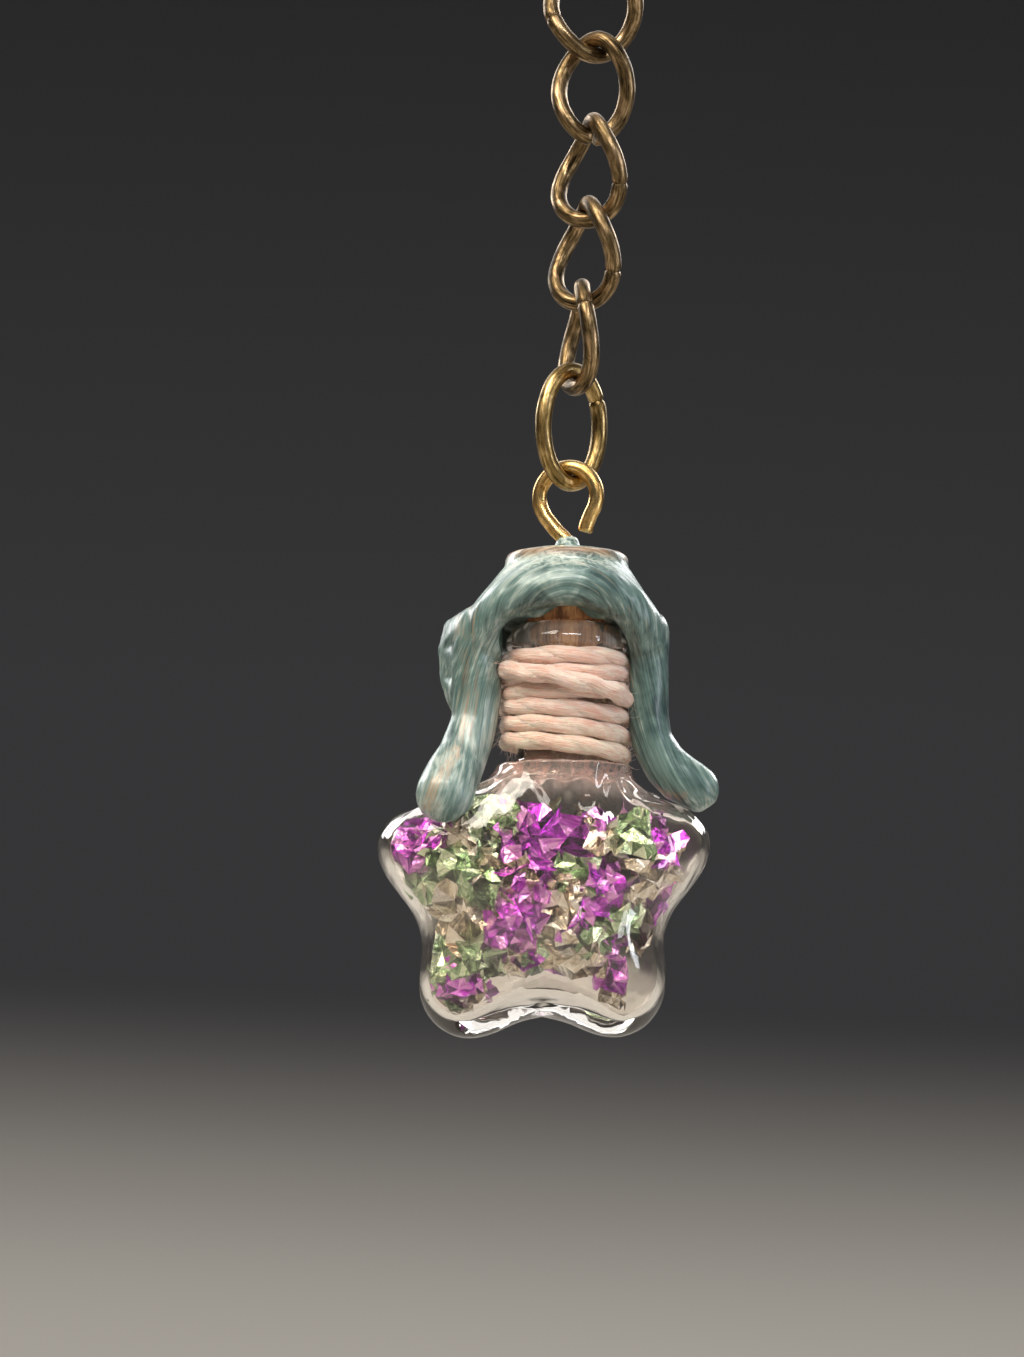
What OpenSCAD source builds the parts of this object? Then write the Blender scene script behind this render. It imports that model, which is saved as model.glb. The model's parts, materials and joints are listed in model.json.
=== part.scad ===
// Star bottle pendant: a puffed star bottle of clear glass, filled with crumpled foil, corked,
// bound with thread, sealed with poured wax and hung by a screw eye from a short curb chain.
// Millimetres. +Z is up and the front faces -Y. The origin is the underside of the top link's crown.

/* [Chain] */
// Diameter of the wire in the chain and in the drop ring
wire_d = 1.1; // [0.8:0.05:1.25]
// Outer length of a curb link
link_l = 8.1; // [7.5:0.1:9]
// Outer width of a curb link
link_w = 6.8; // [6.2:0.1:7.6]
// Outer length of the brass ring that carries the screw eye
ring_l = 8.9; // [8.2:0.1:10]
// Outer width of the brass ring
ring_w = 5.9; // [5.5:0.1:7]
// Clearance where one wire hangs in the next
play = 0.2; // [0.16:0.01:0.3]

/* [Screw eye] */
// Diameter of the screw eye's wire
eye_wire_d = 1.0; // [0.8:0.05:1.15]
// Outer diameter of the screw eye's loop
eye_d = 5.0; // [4.6:0.1:5.8]
// Height of the loop's centre above the wax
eye_rise = 3.5; // [3.1:0.1:4.2]
// Length of the shank below the top of the wax
shank_l = 6.0; // [4:0.1:7]
// Turn of the loop about the upright
eye_yaw = -20; // [-30:1:0]

/* [Cork] */
// Diameter of the cork above the mouth
cork_head_d = 5.3; // [5.1:0.1:5.8]
// Height of the cork above the mouth
cork_head_h = 4.1; // [3.8:0.05:4.6]
// Depth of the cork in the neck
cork_plug_l = 3.9; // [3:0.1:5]

/* [Glass bottle] */
// Width of the star, tip to tip
star_w = 22; // [20:0.2:25]
// Height of the star, up to the foot of the neck
star_h = 18; // [17.5:0.05:21]
// Thickness of the star, front to back
star_d = 10.5; // [9.6:0.1:12]
// Thickness of the glass
wall = 0.75; // [0.5:0.05:0.9]
// Outer diameter of the neck
neck_d = 6.3; // [6.1:0.05:6.8]
// Height of the neck, with its lip, down to where it spreads into the star
neck_l = 9.3; // [9.2:0.1:10.6]
// Outer diameter of the rolled lip
lip_d = 8.1; // [7.6:0.1:8.5]
// Height of the rolled lip
lip_h = 1.85; // [1.5:0.05:1.9]
// Outer diameter at the foot of the neck
neck_foot_d = 9; // [8.2:0.1:9.6]
// Sideways offset of the star from the neck's axis
star_shift = -1.3; // [-1.6:0.1:0]
// Turn of the star in its own plane, against the neck
star_turn = 1.2; // [-1:0.1:3]
// Lean of the whole bottle under its off-centre weight
lean = 2; // [0:0.1:4]

/* [Thread] */
// Thickness of the thread
thread_d = 1.06; // [0.8:0.02:1.06]

/* [Wax seal] */
// Diameter of the wax at the top of the cork
cap_d = 8.2; // [7.8:0.1:9]
// Thickness of the wax over the cork
cap_t = 1; // [0.8:0.05:1.3]
// Rise of the cap's top from its rim to its middle
cap_dome = 0.5; // [0.2:0.05:0.6]
// Height of the upright side of the cap
cap_h = 2.1; // [1.8:0.1:2.6]
// Size of the wax runs against the shape in the table
wax_swell = 1; // [0.96:0.01:1.06]
// Clearance between the wax and what it covers
wax_gap = 0.1; // [0.06:0.01:0.15]

/* [Foil] */
// How many crumpled pieces of foil fit across the width of the star
foil_across = 9.9; // [9.6:0.1:10.2]
// How many rows of them fit up its height
foil_up = 9.36; // [9.2:0.02:9.6]
// Clearance between neighbouring pieces
foil_gap = 0.22; // [0.16:0.01:0.4]

/* [Hidden] */

antique_brass = "#8a7448";
bright_brass = "#d2a44c";

// Meshed wire: stations round a link and sides of its wire
link_stations = 16;
wire_sides = 6;
thread_sides = 8;
thread_step = 18;
glass_sectors = 32;
wax_fn = 18;

// Chain: the yaw of each link's wire at its crown and at its foot, in degrees. The curb twist is the
// difference between the two. gap_at is the angle round the link where its ends meet. gap is how wide
// they stand apart and sway how far the link hangs to the right of the plumb line, both in wire
// diameters. squeeze is its width against the stated one: the second link was opened and pressed
// shut again.
CROWN_YAW = 0;
FOOT_YAW = 1;
GAP_AT = 2;
GAP = 3;
SWAY = 4;
SQUEEZE = 5;
LINKS = [
    // crown yaw, foot yaw, gap_at, gap, sway, squeeze
    [-35, 35, 200, 0.055, 0.15, 1],
    [-42, 24, 272, 0.32, 0.38, 0.84],
    [-82, -22, 340, 0.055, 0.42, 1],
    [-82, -28, 335, 0.055, 0.38, 1],
    [-92, -64, 30, 0.055, 0.28, 1],
    [38, 38, 33, 0.11, 0.04, 1],
];
ring_index = len(LINKS) - 1;

link_pitch = link_l - 2 * wire_d - play;
ring_top = -ring_index * link_pitch;
// The centre of the ring's foot wire, which the screw eye swings about
pivot_z = ring_top - ring_l + 1.5 * wire_d;
eye_r = (eye_d - eye_wire_d) / 2;
eye_centre_z = pivot_z + wire_d / 2 + play + eye_wire_d / 2 - eye_r;
wax_top_z = eye_centre_z - eye_rise;
mouth_z = wax_top_z - cap_t - wax_gap - cork_head_h;

neck_r = neck_d / 2;
bore_r = neck_r - wall;
// Bevel at the mouth of the bore
bore_bevel = 0.2;
cork_gap = 0.08;
shank_gap = 0.06;
bottle_bottom = -neck_l - star_h;
// Rounding of the ledge at the foot of the neck, which the thread bears on
ledge_round = 0.25;

// Star: rows from the notch between the two feet, up one side, to the foot of the neck.
// side and side_h are the outline's half width and height, front and front_h are the front ridge's
// half depth and height, and neck is how far the row has turned into the round foot of the neck.
SIDE = 0;
SIDE_H = 1;
FRONT = 2;
FRONT_H = 3;
NECK = 4;
STAR = [
    // side, side_h, front, front_h, neck
    [0.000, 0.083, 0.000, 0.083, 0],
    [0.155, 0.062, 0.280, 0.089, 0],
    [0.273, 0.024, 0.420, 0.108, 0],
    [0.400, 0.002, 0.530, 0.135, 0],
    [0.510, 0.009, 0.620, 0.168, 0],
    [0.614, 0.040, 0.710, 0.206, 0],
    [0.695, 0.096, 0.790, 0.249, 0],
    [0.736, 0.166, 0.860, 0.298, 0],
    [0.738, 0.236, 0.915, 0.349, 0],
    [0.723, 0.311, 0.955, 0.401, 0],
    [0.723, 0.380, 0.980, 0.453, 0],
    [0.764, 0.456, 0.995, 0.504, 0],
    [0.855, 0.525, 1.000, 0.552, 0],
    [0.945, 0.596, 0.998, 0.601, 0],
    [0.998, 0.670, 0.985, 0.650, 0],
    [0.998, 0.734, 0.960, 0.699, 0],
    [0.945, 0.794, 0.930, 0.747, 0],
    [0.855, 0.834, 0.895, 0.796, 0],
    [0.727, 0.863, 0.860, 0.845, 0],
    [0.600, 0.892, 0.835, 0.888, 0],
    [0.490, 0.925, 0.820, 0.925, 0.15],
    [0.420, 0.962, 0.800, 0.962, 0.6],
    [0.400, 0.986, 0.800, 0.986, 1],
];

// Lip: how far it stands out from the neck, and its height below the mouth, as shares
LIP = [
    // out, down
    [0.00, -1.00],
    [0.55, -0.97],
    [0.90, -0.88],
    [1.00, -0.74],
    [0.93, -0.55],
    [0.76, -0.36],
    [0.50, -0.20],
    [0.15, -0.06],
    [-0.25, 0.00],
];

// Thread: where the winding lies as it runs down round the neck. angle is in degrees, -90 at the
// front and 0 at the right, row is the height in turns above the lowest turn, and lift is how far
// the thread rides over what lies beneath it, in thread thicknesses.
THREAD_ANGLE = 0;
THREAD_ROW = 1;
THREAD_LIFT = 2;
WINDING = [
    // angle, row, lift
    [-140, 5.72, 0],
    [0, 5.72, 0],
    [90, 5.66, 0],
    [180, 5.10, 0],
    [215, 4.86, 0.68],
    [250, 4.42, 1.02],
    [285, 3.90, 1.02],
    [305, 3.64, 0.96],
    [332, 3.36, 0.40],
    [362, 3.24, 0],
    [450, 3.56, 0],
    [540, 3.90, 0],
    [630, 4.16, 0],
    [700, 4.42, 0],
    [722, 4.48, 0],
    [755, 4.40, 0.2],
    [790, 4.06, 1.02],
    [825, 3.40, 1.02],
    [850, 3.08, 1.00],
    [880, 2.84, 0.15],
    [900, 2.80, 0],
    [1080, 2.24, 0],
    [1260, 1.79, 0],
    [1440, 1.14, 0],
    [1620, 0.78, 0],
    [1800, 0.00, 0],
    [1880, 0.00, 0],
];
thread_gap = 0.08;
thread_r = neck_r + thread_gap + thread_d / 2;
thread_low = -neck_l + thread_d / 2 + thread_gap;
thread_pitch = (neck_l - lip_h - thread_d - 2 * thread_gap) / WINDING[1][THREAD_ROW];

// Wax: each run is a row of round lumps, joined one to the next. x and y are shares of the lip's
// radius, z is a share of the height from the top of the wax to the foot of the neck, and r is the
// lump's radius as a share of the lip's radius.
lip_r = lip_d / 2;
wax_top = cork_head_h + wax_gap + cap_t;
wax_reach = wax_top + neck_l;
cap_bevel = 0.4;
cap_fn = 36;
// The little cone that the wax makes where it climbs the shank, and how deep it starts in the dome
shank_cone_h = 0.75;
shank_cone_sunk = 0.1;
FRONT_ARCH = [
    // x, y, z, r
    [-1.38, -0.40, 0.440, 0.42],
    [-1.22, -0.58, 0.370, 0.41],
    [-0.98, -0.78, 0.300, 0.39],
    [-0.64, -0.96, 0.245, 0.36],
    [-0.24, -1.06, 0.218, 0.345],
    [0.20, -1.06, 0.216, 0.345],
    [0.60, -0.96, 0.240, 0.35],
    [0.94, -0.78, 0.296, 0.37],
    [1.14, -0.58, 0.365, 0.38],
    [1.26, -0.40, 0.435, 0.38],
];
BACK_ARCH = [
    [1.26, 0.30, 0.390, 0.38],
    [1.02, 0.80, 0.370, 0.35],
    [0.45, 1.14, 0.350, 0.31],
    [-0.40, 1.16, 0.370, 0.31],
    [-1.02, 0.84, 0.380, 0.35],
    [-1.34, 0.34, 0.390, 0.40],
];
LEFT_RUN = [
    [-1.40, -0.36, 0.404, 0.44],
    [-1.46, -0.32, 0.527, 0.42],
    [-1.44, -0.36, 0.703, 0.40],
    [-1.48, -0.42, 0.826, 0.38],
    [-1.64, -0.56, 0.966, 0.40],
    [-1.84, -0.76, 1.098, 0.47],
    [-1.92, -0.88, 1.160, 0.49],
];
RIGHT_RUN = [
    [1.28, -0.36, 0.395, 0.38],
    [1.32, -0.26, 0.545, 0.35],
    [1.33, -0.24, 0.773, 0.34],
    [1.40, -0.24, 0.896, 0.34],
    [1.63, -0.22, 1.001, 0.37],
    [1.91, -0.20, 1.067, 0.40],
    [2.12, -0.18, 1.102, 0.385],
];
// The thin fold that stands out at the back of the left run
LEFT_FOLD = [
    [-1.92, 0.22, 0.355, 0.09],
    [-2.02, 0.24, 0.474, 0.09],
    [-1.98, 0.22, 0.597, 0.09],
    [-1.78, 0.10, 0.738, 0.12],
];

// Foil: a chart of the pieces as they show from the front, M magenta, G green, S silver. Odd rows
// stand half a place to the right. The back layer is the same chart, read the other way round.
FOIL_CHART = [
    "...GMSMS..",
    "MMGMMMSGM.",
    ".GGSMSGSS.",
    "GGGMSMMS..",
    "..SGMSGGM.",
    ".GGMSMG...",
    ".GGGSSMM..",
    ".SM...S...",
];
foil_pitch = star_w / foil_across;
foil_row_step = star_h / foil_up;
foil_d = min(foil_pitch, norm([foil_pitch / 2, foil_row_step])) - foil_gap;
// Height of the top row in the star, and how much smaller than round a crumpled piece may be
foil_top_row = 0.83;
foil_crumple = 0.62;

// Geometry helpers
function mix(a, b, t) = a + (b - a) * t;
function ease(t) = t * t * (3 - 2 * t);
function unit(v) = v / norm(v);
function hash(i) = let (s = sin(i * 77.7 + 13) * 43.758) s - floor(s);
// A short table's columns, eased between the rows that bracket the value at
function eased(table, at, column, row = 0) =
    row >= len(table) - 2 || at < table[row + 1][0]
        ? let (t = (at - table[row][0]) / (table[row + 1][0] - table[row][0]))
          mix(table[row][column], table[row + 1][column], ease(min(max(t, 0), 1)))
        : eased(table, at, column, row + 1);

// Closed skin over a list of rings, from the first pole to the last, which are the middles of the end
// rings unless given
module skin(rings, poles = undef) {
    n = len(rings[0]);
    last = len(rings) - 1;
    ends = is_undef(poles) ? [centroid(rings[0]), centroid(rings[last])] : poles;
    points = concat([for (ring = rings) each ring], ends);
    sides = [for (k = [0 : last - 1]) for (j = [0 : n - 1]) let (a = k * n + j, b = k * n + (j + 1) % n)
        each [[a, a + n, b + n], [a, b + n, b]]];
    start = [for (j = [0 : n - 1]) [n * (last + 1), j, (j + 1) % n]];
    end = [for (j = [0 : n - 1]) [n * (last + 1) + 1, last * n + (j + 1) % n, last * n + j]];
    polyhedron(points, concat(sides, start, end));
}
function total(values) = values * [for (v = values) 1];
function centroid(ring) = [for (i = [0 : 2]) total([for (p = ring) p[i]])] / len(ring);

// Round wire of radius r along a path; across is a vector that stays clear of the path's direction
function wire_rings(path, across, r, sides) = [
    for (i = [0 : len(path) - 1])
        let (
            along = unit(path[min(i + 1, len(path) - 1)] - path[max(i - 1, 0)]),
            u = unit(cross(across[i], along)),
            v = cross(along, u)
        )
        [for (s = [0 : sides - 1]) let (a = 360 * s / sides) path[i] + r * (cos(a) * u + sin(a) * v)]
];

// Chain
function link_half_w(i) = ((i == ring_index ? ring_w : link_w) * LINKS[i][SQUEEZE] - wire_d) / 2;
function link_half_l(i) = ((i == ring_index ? ring_l : link_l) - wire_d) / 2;
function link_yaw(i, up) = mix(LINKS[i][FOOT_YAW], LINKS[i][CROWN_YAW], (up + 1) / 2);
function link_point(i, t) =
    let (
        up = sin(t),
        yaw = link_yaw(i, up),
        out = link_half_w(i) * cos(t),
        crown_z = wire_d / 2 - i * link_pitch
    )
    [out * cos(yaw) + LINKS[i][SWAY] * wire_d, out * sin(yaw), crown_z + link_half_l(i) * (up - 1)];

module link(i) {
    // The open ends leave the stated gap along the wire's mean length, and the stations between them
    // fall on the crown and the foot, where the links bear on each other
    mean_r = (link_half_w(i) + link_half_l(i)) / 2;
    half_gap = LINKS[i][GAP] * wire_d / 2 / mean_r * 180 / PI;
    from = LINKS[i][GAP_AT] + half_gap;
    to = LINKS[i][GAP_AT] + 360 - half_gap;
    step = 360 / link_stations;
    between = [for (k = [ceil((from + step / 3) / step) : floor((to - step / 3) / step)]) k * step];
    angles = concat([from], between, [to]);
    path = [for (t = angles) link_point(i, t)];
    across = [for (t = angles) let (yaw = link_yaw(i, sin(t))) [-sin(yaw), cos(yaw), 0]];
    skin(wire_rings(path, across, wire_d / 2, wire_sides));
}

module curb_link(i) {
    color(antique_brass) link(i);
}

module drop_ring() {
    color(bright_brass) link(ring_index);
}

// What hangs from the ring: the neck's axis is Z, and the bottle's mouth is at z = 0
module hung() {
    translate([0, 0, pivot_z]) rotate([0, -lean, 0]) translate([0, 0, mouth_z - pivot_z]) children();
}

// The screw eye's wire, d thick: its free end, its loop, and the limb that turns down into the shank
module eye_wire(d) {
    loop_z = wax_top + eye_rise;
    // Shares of the loop's radius
    free_end = [[0.60, -1.20], [0.68, -0.92]];
    limb = [[-0.80, -0.62], [-0.43, -1.08], [-0.07, -1.45], [0, -1.8]];
    arc = [for (a = [-33 : 20.5 : 213]) [cos(a), sin(a)]];
    flat = [for (p = concat(free_end, arc, limb)) [eye_r * p[0], loop_z + eye_r * p[1]]];
    route = concat(flat, [[0, wax_top - shank_l]]);
    path = [for (p = route) [p[0] * cos(eye_yaw), p[0] * sin(eye_yaw), p[1]]];
    across = [for (p = route) [-sin(eye_yaw), cos(eye_yaw), 0]];
    skin(wire_rings(path, across, d / 2, thread_sides));
}

module screw_eye() {
    color(bright_brass) hung() eye_wire(eye_wire_d);
}

module cork() {
    color("#a9773f") hung() difference() {
        union() {
            translate([0, 0, cork_gap]) cylinder(h = cork_head_h - cork_gap, d = cork_head_d, $fn = 64);
            translate([0, 0, -cork_plug_l])
                cylinder(h = cork_plug_l + cork_head_h / 2, r = bore_r - cork_gap, $fn = 64);
        }
        translate([0, 0, wax_top - shank_l - shank_gap])
            cylinder(h = shank_l, r = eye_wire_d / 2 + shank_gap, $fn = 32);
    }
}

// Glass
function star_row_side(row) = mix(row[SIDE] * star_w / 2, neck_foot_d / 2, row[NECK]);
function star_row_front(row) = mix(row[FRONT] * star_d / 2, neck_foot_d / 2, row[NECK]);
// The outline and the front ridge as [half width, height] and [half depth, height]
side_line = [for (row = STAR) [star_row_side(row), bottle_bottom + row[SIDE_H] * star_h]];
front_line = [for (row = STAR) [star_row_front(row), bottle_bottom + row[FRONT_H] * star_h]];
// A line moved outwards by d, square to itself
function offset_line(line, d) = [
    for (k = [0 : len(line) - 1])
        let (
            last = len(line) - 1,
            along = k == 0 ? [1, 0] : k == last ? [0, 1] : unit(line[k + 1] - line[k - 1])
        )
        line[k] + d * [along[1], -along[0]]
];
// The star's offset and turn, which fade out up the shoulders
function star_share(z) = ease(min(max((-neck_l - z) / (0.2 * star_h), 0), 1));
function settle(p) =
    let (share = star_share(p[2]))
    [p[0] + share * star_shift, p[1], p[2] + share * p[0] * tan(star_turn)];
function star_ring(side, front) = [
    for (j = [0 : glass_sectors - 1])
        let (a = 360 * j / glass_sectors)
        settle([side[0] * cos(a), front[0] * sin(a), mix(front[1], side[1], pow(cos(a), 2))])
];
function round_ring(r, z) = star_ring([r, z], [r, z]);
// Rings of the star's surface, moved outwards by d, above its pole in the notch
function star_rings(d) =
    let (sides = offset_line(side_line, d), fronts = offset_line(front_line, d))
    [for (k = [1 : len(sides) - 1]) star_ring(sides[k], fronts[k])];
function star_pole(d) = settle([0, 0, side_line[0][1] - d]);
function ledge_rings(d) = [for (r = [neck_foot_d / 2 - ledge_round, neck_r]) round_ring(r + d, -neck_l + d)];
lip_rings = [for (row = LIP) round_ring(mix(neck_r, lip_r, row[0]), row[1] * lip_h)];

module glass_bottle() {
    inner = star_rings(-wall);
    hollow = [for (k = [len(inner) - 2 : -1 : 0]) inner[k]];
    bore_line = [[bore_r + bore_bevel, 0], [bore_r, -bore_bevel], [bore_r, -neck_l]];
    bore = [for (at = bore_line) round_ring(at[0], at[1])];
    rings = concat(star_rings(0), ledge_rings(0), lip_rings, bore, hollow);
    color("#dfe8ea", 0.4) hung() skin(rings, [star_pole(0), star_pole(-wall)]);
}

// Thread
function winding_point(a) =
    let (r = thread_r + thread_d * eased(WINDING, a, THREAD_LIFT))
    [r * cos(a), r * sin(a), thread_low + thread_pitch * eased(WINDING, a, THREAD_ROW)];

module winding(d) {
    first = WINDING[0][THREAD_ANGLE];
    last = WINDING[len(WINDING) - 1][THREAD_ANGLE];
    steps = round((last - first) / thread_step);
    path = [for (s = [0 : steps]) winding_point(mix(first, last, s / steps))];
    skin(wire_rings(path, [for (p = path) [0, 0, 1]], d / 2, thread_sides));
}

module neck_thread() {
    color("#f2c2ae") hung() winding(thread_d);
}

// Wax
module lump(at) {
    translate([at[0] * lip_r, at[1] * lip_r, wax_top - at[2] * wax_reach])
        sphere(r = at[3] * lip_r * wax_swell, $fn = wax_fn);
}

module wax_run(run) {
    for (i = [0 : len(run) - 2]) hull() {
        lump(run[i]);
        lump(run[i + 1]);
    }
}

// A run that spreads down and out from within the cap, like a skirt
module wax_skirt(run) {
    for (i = [0 : len(run) - 2]) hull() {
        lump(run[i]);
        lump(run[i + 1]);
        translate([0, 0, wax_top - cap_h]) cylinder(h = cap_h / 2, d = cap_d * 0.96, $fn = cap_fn);
    }
}

// The cap's profile, turned: an upright side, a bevelled rim and a low dome
module wax_cap() {
    // Diameter as a share of the cap's, and height as a share of the dome's
    dome = [[0.95, 0], [0.6, 0.6], [0.24, 1]];
    rim_z = wax_top - cap_dome;
    side_z = rim_z - cap_bevel;
    translate([0, 0, side_z - cap_h]) cylinder(h = cap_h, d = cap_d, $fn = cap_fn);
    translate([0, 0, side_z]) cylinder(h = cap_bevel, d1 = cap_d, d2 = cap_d * dome[0][0], $fn = cap_fn);
    for (i = [0, 1])
        translate([0, 0, rim_z + cap_dome * dome[i][1]])
            cylinder(
                h = cap_dome * (dome[i + 1][1] - dome[i][1]),
                d1 = cap_d * dome[i][0], d2 = cap_d * dome[i + 1][0], $fn = cap_fn
            );
    translate([0, 0, wax_top - shank_cone_sunk])
        cylinder(h = shank_cone_sunk + shank_cone_h, r1 = eye_wire_d, r2 = eye_wire_d * 0.64, $fn = 20);
}

// Everything that the wax is poured over, a little enlarged
module wax_void() {
    winding_foot = thread_low - thread_d / 2 - wax_gap;
    winding_out = thread_r + thread_d / 2;
    translate([0, 0, -lip_h])
        cylinder(h = lip_h + cork_head_h + wax_gap, d = cork_head_d + 2 * wax_gap, $fn = 40);
    translate([0, 0, winding_foot])
        cylinder(h = wax_gap - winding_foot, r = max(lip_r, winding_out) + wax_gap, $fn = 48);
    winding(thread_d + 2 * wax_gap);
    eye_wire(eye_wire_d + 2 * shank_gap);
    skin(concat(star_rings(wax_gap), ledge_rings(wax_gap), [round_ring(neck_r + wax_gap, -lip_h)]));
}

module wax_seal() {
    color("#4f7f79") hung() difference() {
        union() {
            wax_cap();
            wax_skirt(FRONT_ARCH);
            wax_skirt(BACK_ARCH);
            hull() for (run = [FRONT_ARCH, BACK_ARCH]) lump(run[0]);
            wax_run(LEFT_RUN);
            wax_run(RIGHT_RUN);
            for (i = [0 : len(LEFT_FOLD) - 2]) hull() {
                lump(LEFT_FOLD[i]);
                lump(LEFT_FOLD[i + 1]);
                lump(LEFT_RUN[i]);
            }
        }
        wax_void();
    }
}

// Foil
foil_r = foil_d / 2;
inner_side = offset_line(side_line, -wall);
inner_front = offset_line(front_line, -wall);
// Half depth of the hollow at a place in the star's own plane
function hollow_depth(x, z) =
    let (rows = [
        for (k = [1 : len(inner_side) - 1])
            if (inner_side[k][0] > abs(x))
                let (c = abs(x) / inner_side[k][0])
                [mix(inner_front[k][1], inner_side[k][1], c * c), inner_front[k][0] * sqrt(1 - c * c)]
    ])
    len(rows) < 2 || z < rows[0][0] || z > rows[len(rows) - 1][0] ? 0 : lookup(z, rows);
// The least depth a little inside a piece's rim, which says whether it fits
function foil_room(x, z) =
    let (rim = 0.8 * foil_r)
    min([for (a = [0 : 45 : 315]) hollow_depth(x + rim * cos(a), z + rim * sin(a))]);

// A crumpled piece: an icosahedron with uneven corners
golden = (1 + sqrt(5)) / 2;
ico_reach = norm([1, golden]);
ico_corners = [for (a = [-1, 1]) for (b = [-golden, golden]) each [[0, a, b], [a, b, 0], [b, 0, a]]];
ico_points = ico_corners / ico_reach;
ico_edge = 2 / ico_reach;
function near(a, b) = norm(ico_points[a] - ico_points[b]) < ico_edge * 1.01;
function outward(t) =
    cross(ico_points[t[1]] - ico_points[t[0]], ico_points[t[2]] - ico_points[t[0]]) * ico_points[t[0]] > 0
        ? [t[0], t[2], t[1]] : t;
ico_faces = [for (i = [0 : 9]) for (j = [i + 1 : 10]) for (k = [j + 1 : 11])
    if (near(i, j) && near(j, k) && near(i, k)) outward([i, j, k])];

module foil_piece(seed) {
    reach = [for (i = [0 : 11]) foil_r * mix(foil_crumple, 1, hash(seed * 13 + i * 3 + 5))];
    corners = [for (i = [0 : 11]) ico_points[i] * reach[i]];
    rotate([hash(seed) * 360, hash(seed + 1) * 360, 0]) polyhedron(corners, ico_faces);
}

module foil(letter) {
    columns = len(FOIL_CHART[0]);
    for (r = [0 : len(FOIL_CHART) - 1]) for (c = [0 : columns - 1]) for (layer = [-1, 0, 1]) {
        column = layer > 0 ? columns - 1 - c : c;
        chart_row = layer == 0 ? (r + 3) % len(FOIL_CHART) : r;
        x = (c - (columns - 1) / 2 + (r % 2 - 0.5) / 2) * foil_pitch;
        z = bottle_bottom + foil_top_row * star_h - r * foil_row_step;
        room = foil_room(x, z);
        y = max(room - 1.15 * foil_r, 0);
        // Two layers, with a third between them where the star is thick enough, and one where it is thin
        fits = layer == 0 ? y < foil_pitch / 2 || y >= foil_pitch : y >= foil_pitch / 2;
        shows = layer == 0 ? FOIL_CHART[r][c] != "." : true;
        if (FOIL_CHART[chart_row][column] == letter && fits && shows && room > 0.85 * foil_r)
            translate(settle([x, layer * y, z])) foil_piece(r * 31 + c * 7 + layer * 3 + 40);
    }
}

module foil_magenta() {
    color("#b52cb4") hung() foil("M");
}

module foil_green() {
    color("#6f9a62") hung() foil("G");
}

module foil_silver() {
    color("#d8cfb8") hung() foil("S");
}

curb_link(0);  // link_1
curb_link(1);  // link_2
curb_link(2);  // link_3
curb_link(3);  // link_4
curb_link(4);  // link_5
drop_ring();
screw_eye();
cork();
glass_bottle();
neck_thread();
wax_seal();
foil_magenta();
foil_green();
foil_silver();
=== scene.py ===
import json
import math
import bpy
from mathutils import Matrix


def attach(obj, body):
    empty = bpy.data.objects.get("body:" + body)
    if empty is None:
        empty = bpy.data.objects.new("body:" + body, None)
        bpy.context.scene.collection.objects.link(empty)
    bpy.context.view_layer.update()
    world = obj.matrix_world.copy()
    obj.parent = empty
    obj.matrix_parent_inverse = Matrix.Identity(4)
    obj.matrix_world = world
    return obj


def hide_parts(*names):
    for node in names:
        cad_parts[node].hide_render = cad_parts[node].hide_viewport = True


bl_info = {
    "name": "Star bottle pendant",
    "version": (1, 0, 0),
    "blender": (4, 5, 0),
    "location": "View3D > Sidebar > Pendant",
    "description": "Dresses a corked and wax-sealed star bottle of foil that hangs from a curb chain",
    "category": "Object",
}

from itertools import product

import bmesh
import bpy
import numpy as np
from bpy.props import FloatProperty, FloatVectorProperty, IntProperty, PointerProperty
from mathutils import Euler, Matrix, Vector, noise
from mathutils.bvhtree import BVHTree

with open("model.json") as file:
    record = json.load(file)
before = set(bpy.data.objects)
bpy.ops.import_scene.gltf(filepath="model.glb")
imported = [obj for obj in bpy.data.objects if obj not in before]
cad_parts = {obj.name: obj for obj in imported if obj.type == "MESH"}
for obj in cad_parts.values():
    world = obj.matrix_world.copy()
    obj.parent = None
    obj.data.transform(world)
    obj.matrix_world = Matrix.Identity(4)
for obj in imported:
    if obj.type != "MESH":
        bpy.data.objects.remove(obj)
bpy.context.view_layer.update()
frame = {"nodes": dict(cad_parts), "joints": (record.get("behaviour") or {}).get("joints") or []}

MM = 0.001
# The photograph's frame in pixels
PHOTO_W = 1024
PHOTO_H = 1357
# The bottle swings in the drop ring, about the middle of the ring's foot wire
PIVOT = Vector((0, 0, frame["joints"][0]["pos_m"][2]))
CHAIN_BODY = "chain"
BOTTLE_BODY = "bottle"


def linear(code):
    """An sRGB hex colour as the linear colour that shaders use."""
    parts = [int(code[i : i + 2], 16) / 255 for i in (1, 3, 5)]
    return (*[c / 12.92 if c <= 0.04045 else ((c + 0.055) / 1.055) ** 2.4 for c in parts], 1.0)


def length(name, description, millimetres):
    """A length that a user may change, in metres, with its default given in millimetres."""
    return FloatProperty(
        name=name, description=description, default=millimetres * MM, unit="LENGTH", precision=5
    )


def angle(name, description, degrees):
    """An angle that a user may change, with its default given in degrees."""
    return FloatProperty(name=name, description=description, default=math.radians(degrees), unit="ROTATION")


def number(name, description, value, least=0):
    """A count or a share that a user may change."""
    kind = IntProperty if isinstance(value, int) else FloatProperty
    return kind(name=name, description=description, default=value, min=least)


def colour(name, description, code):
    """A colour that a user may change, with its default given as sRGB hex."""
    return FloatVectorProperty(
        name=name, description=description, default=linear(code), size=4, subtype="COLOR", min=0, max=1
    )


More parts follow.
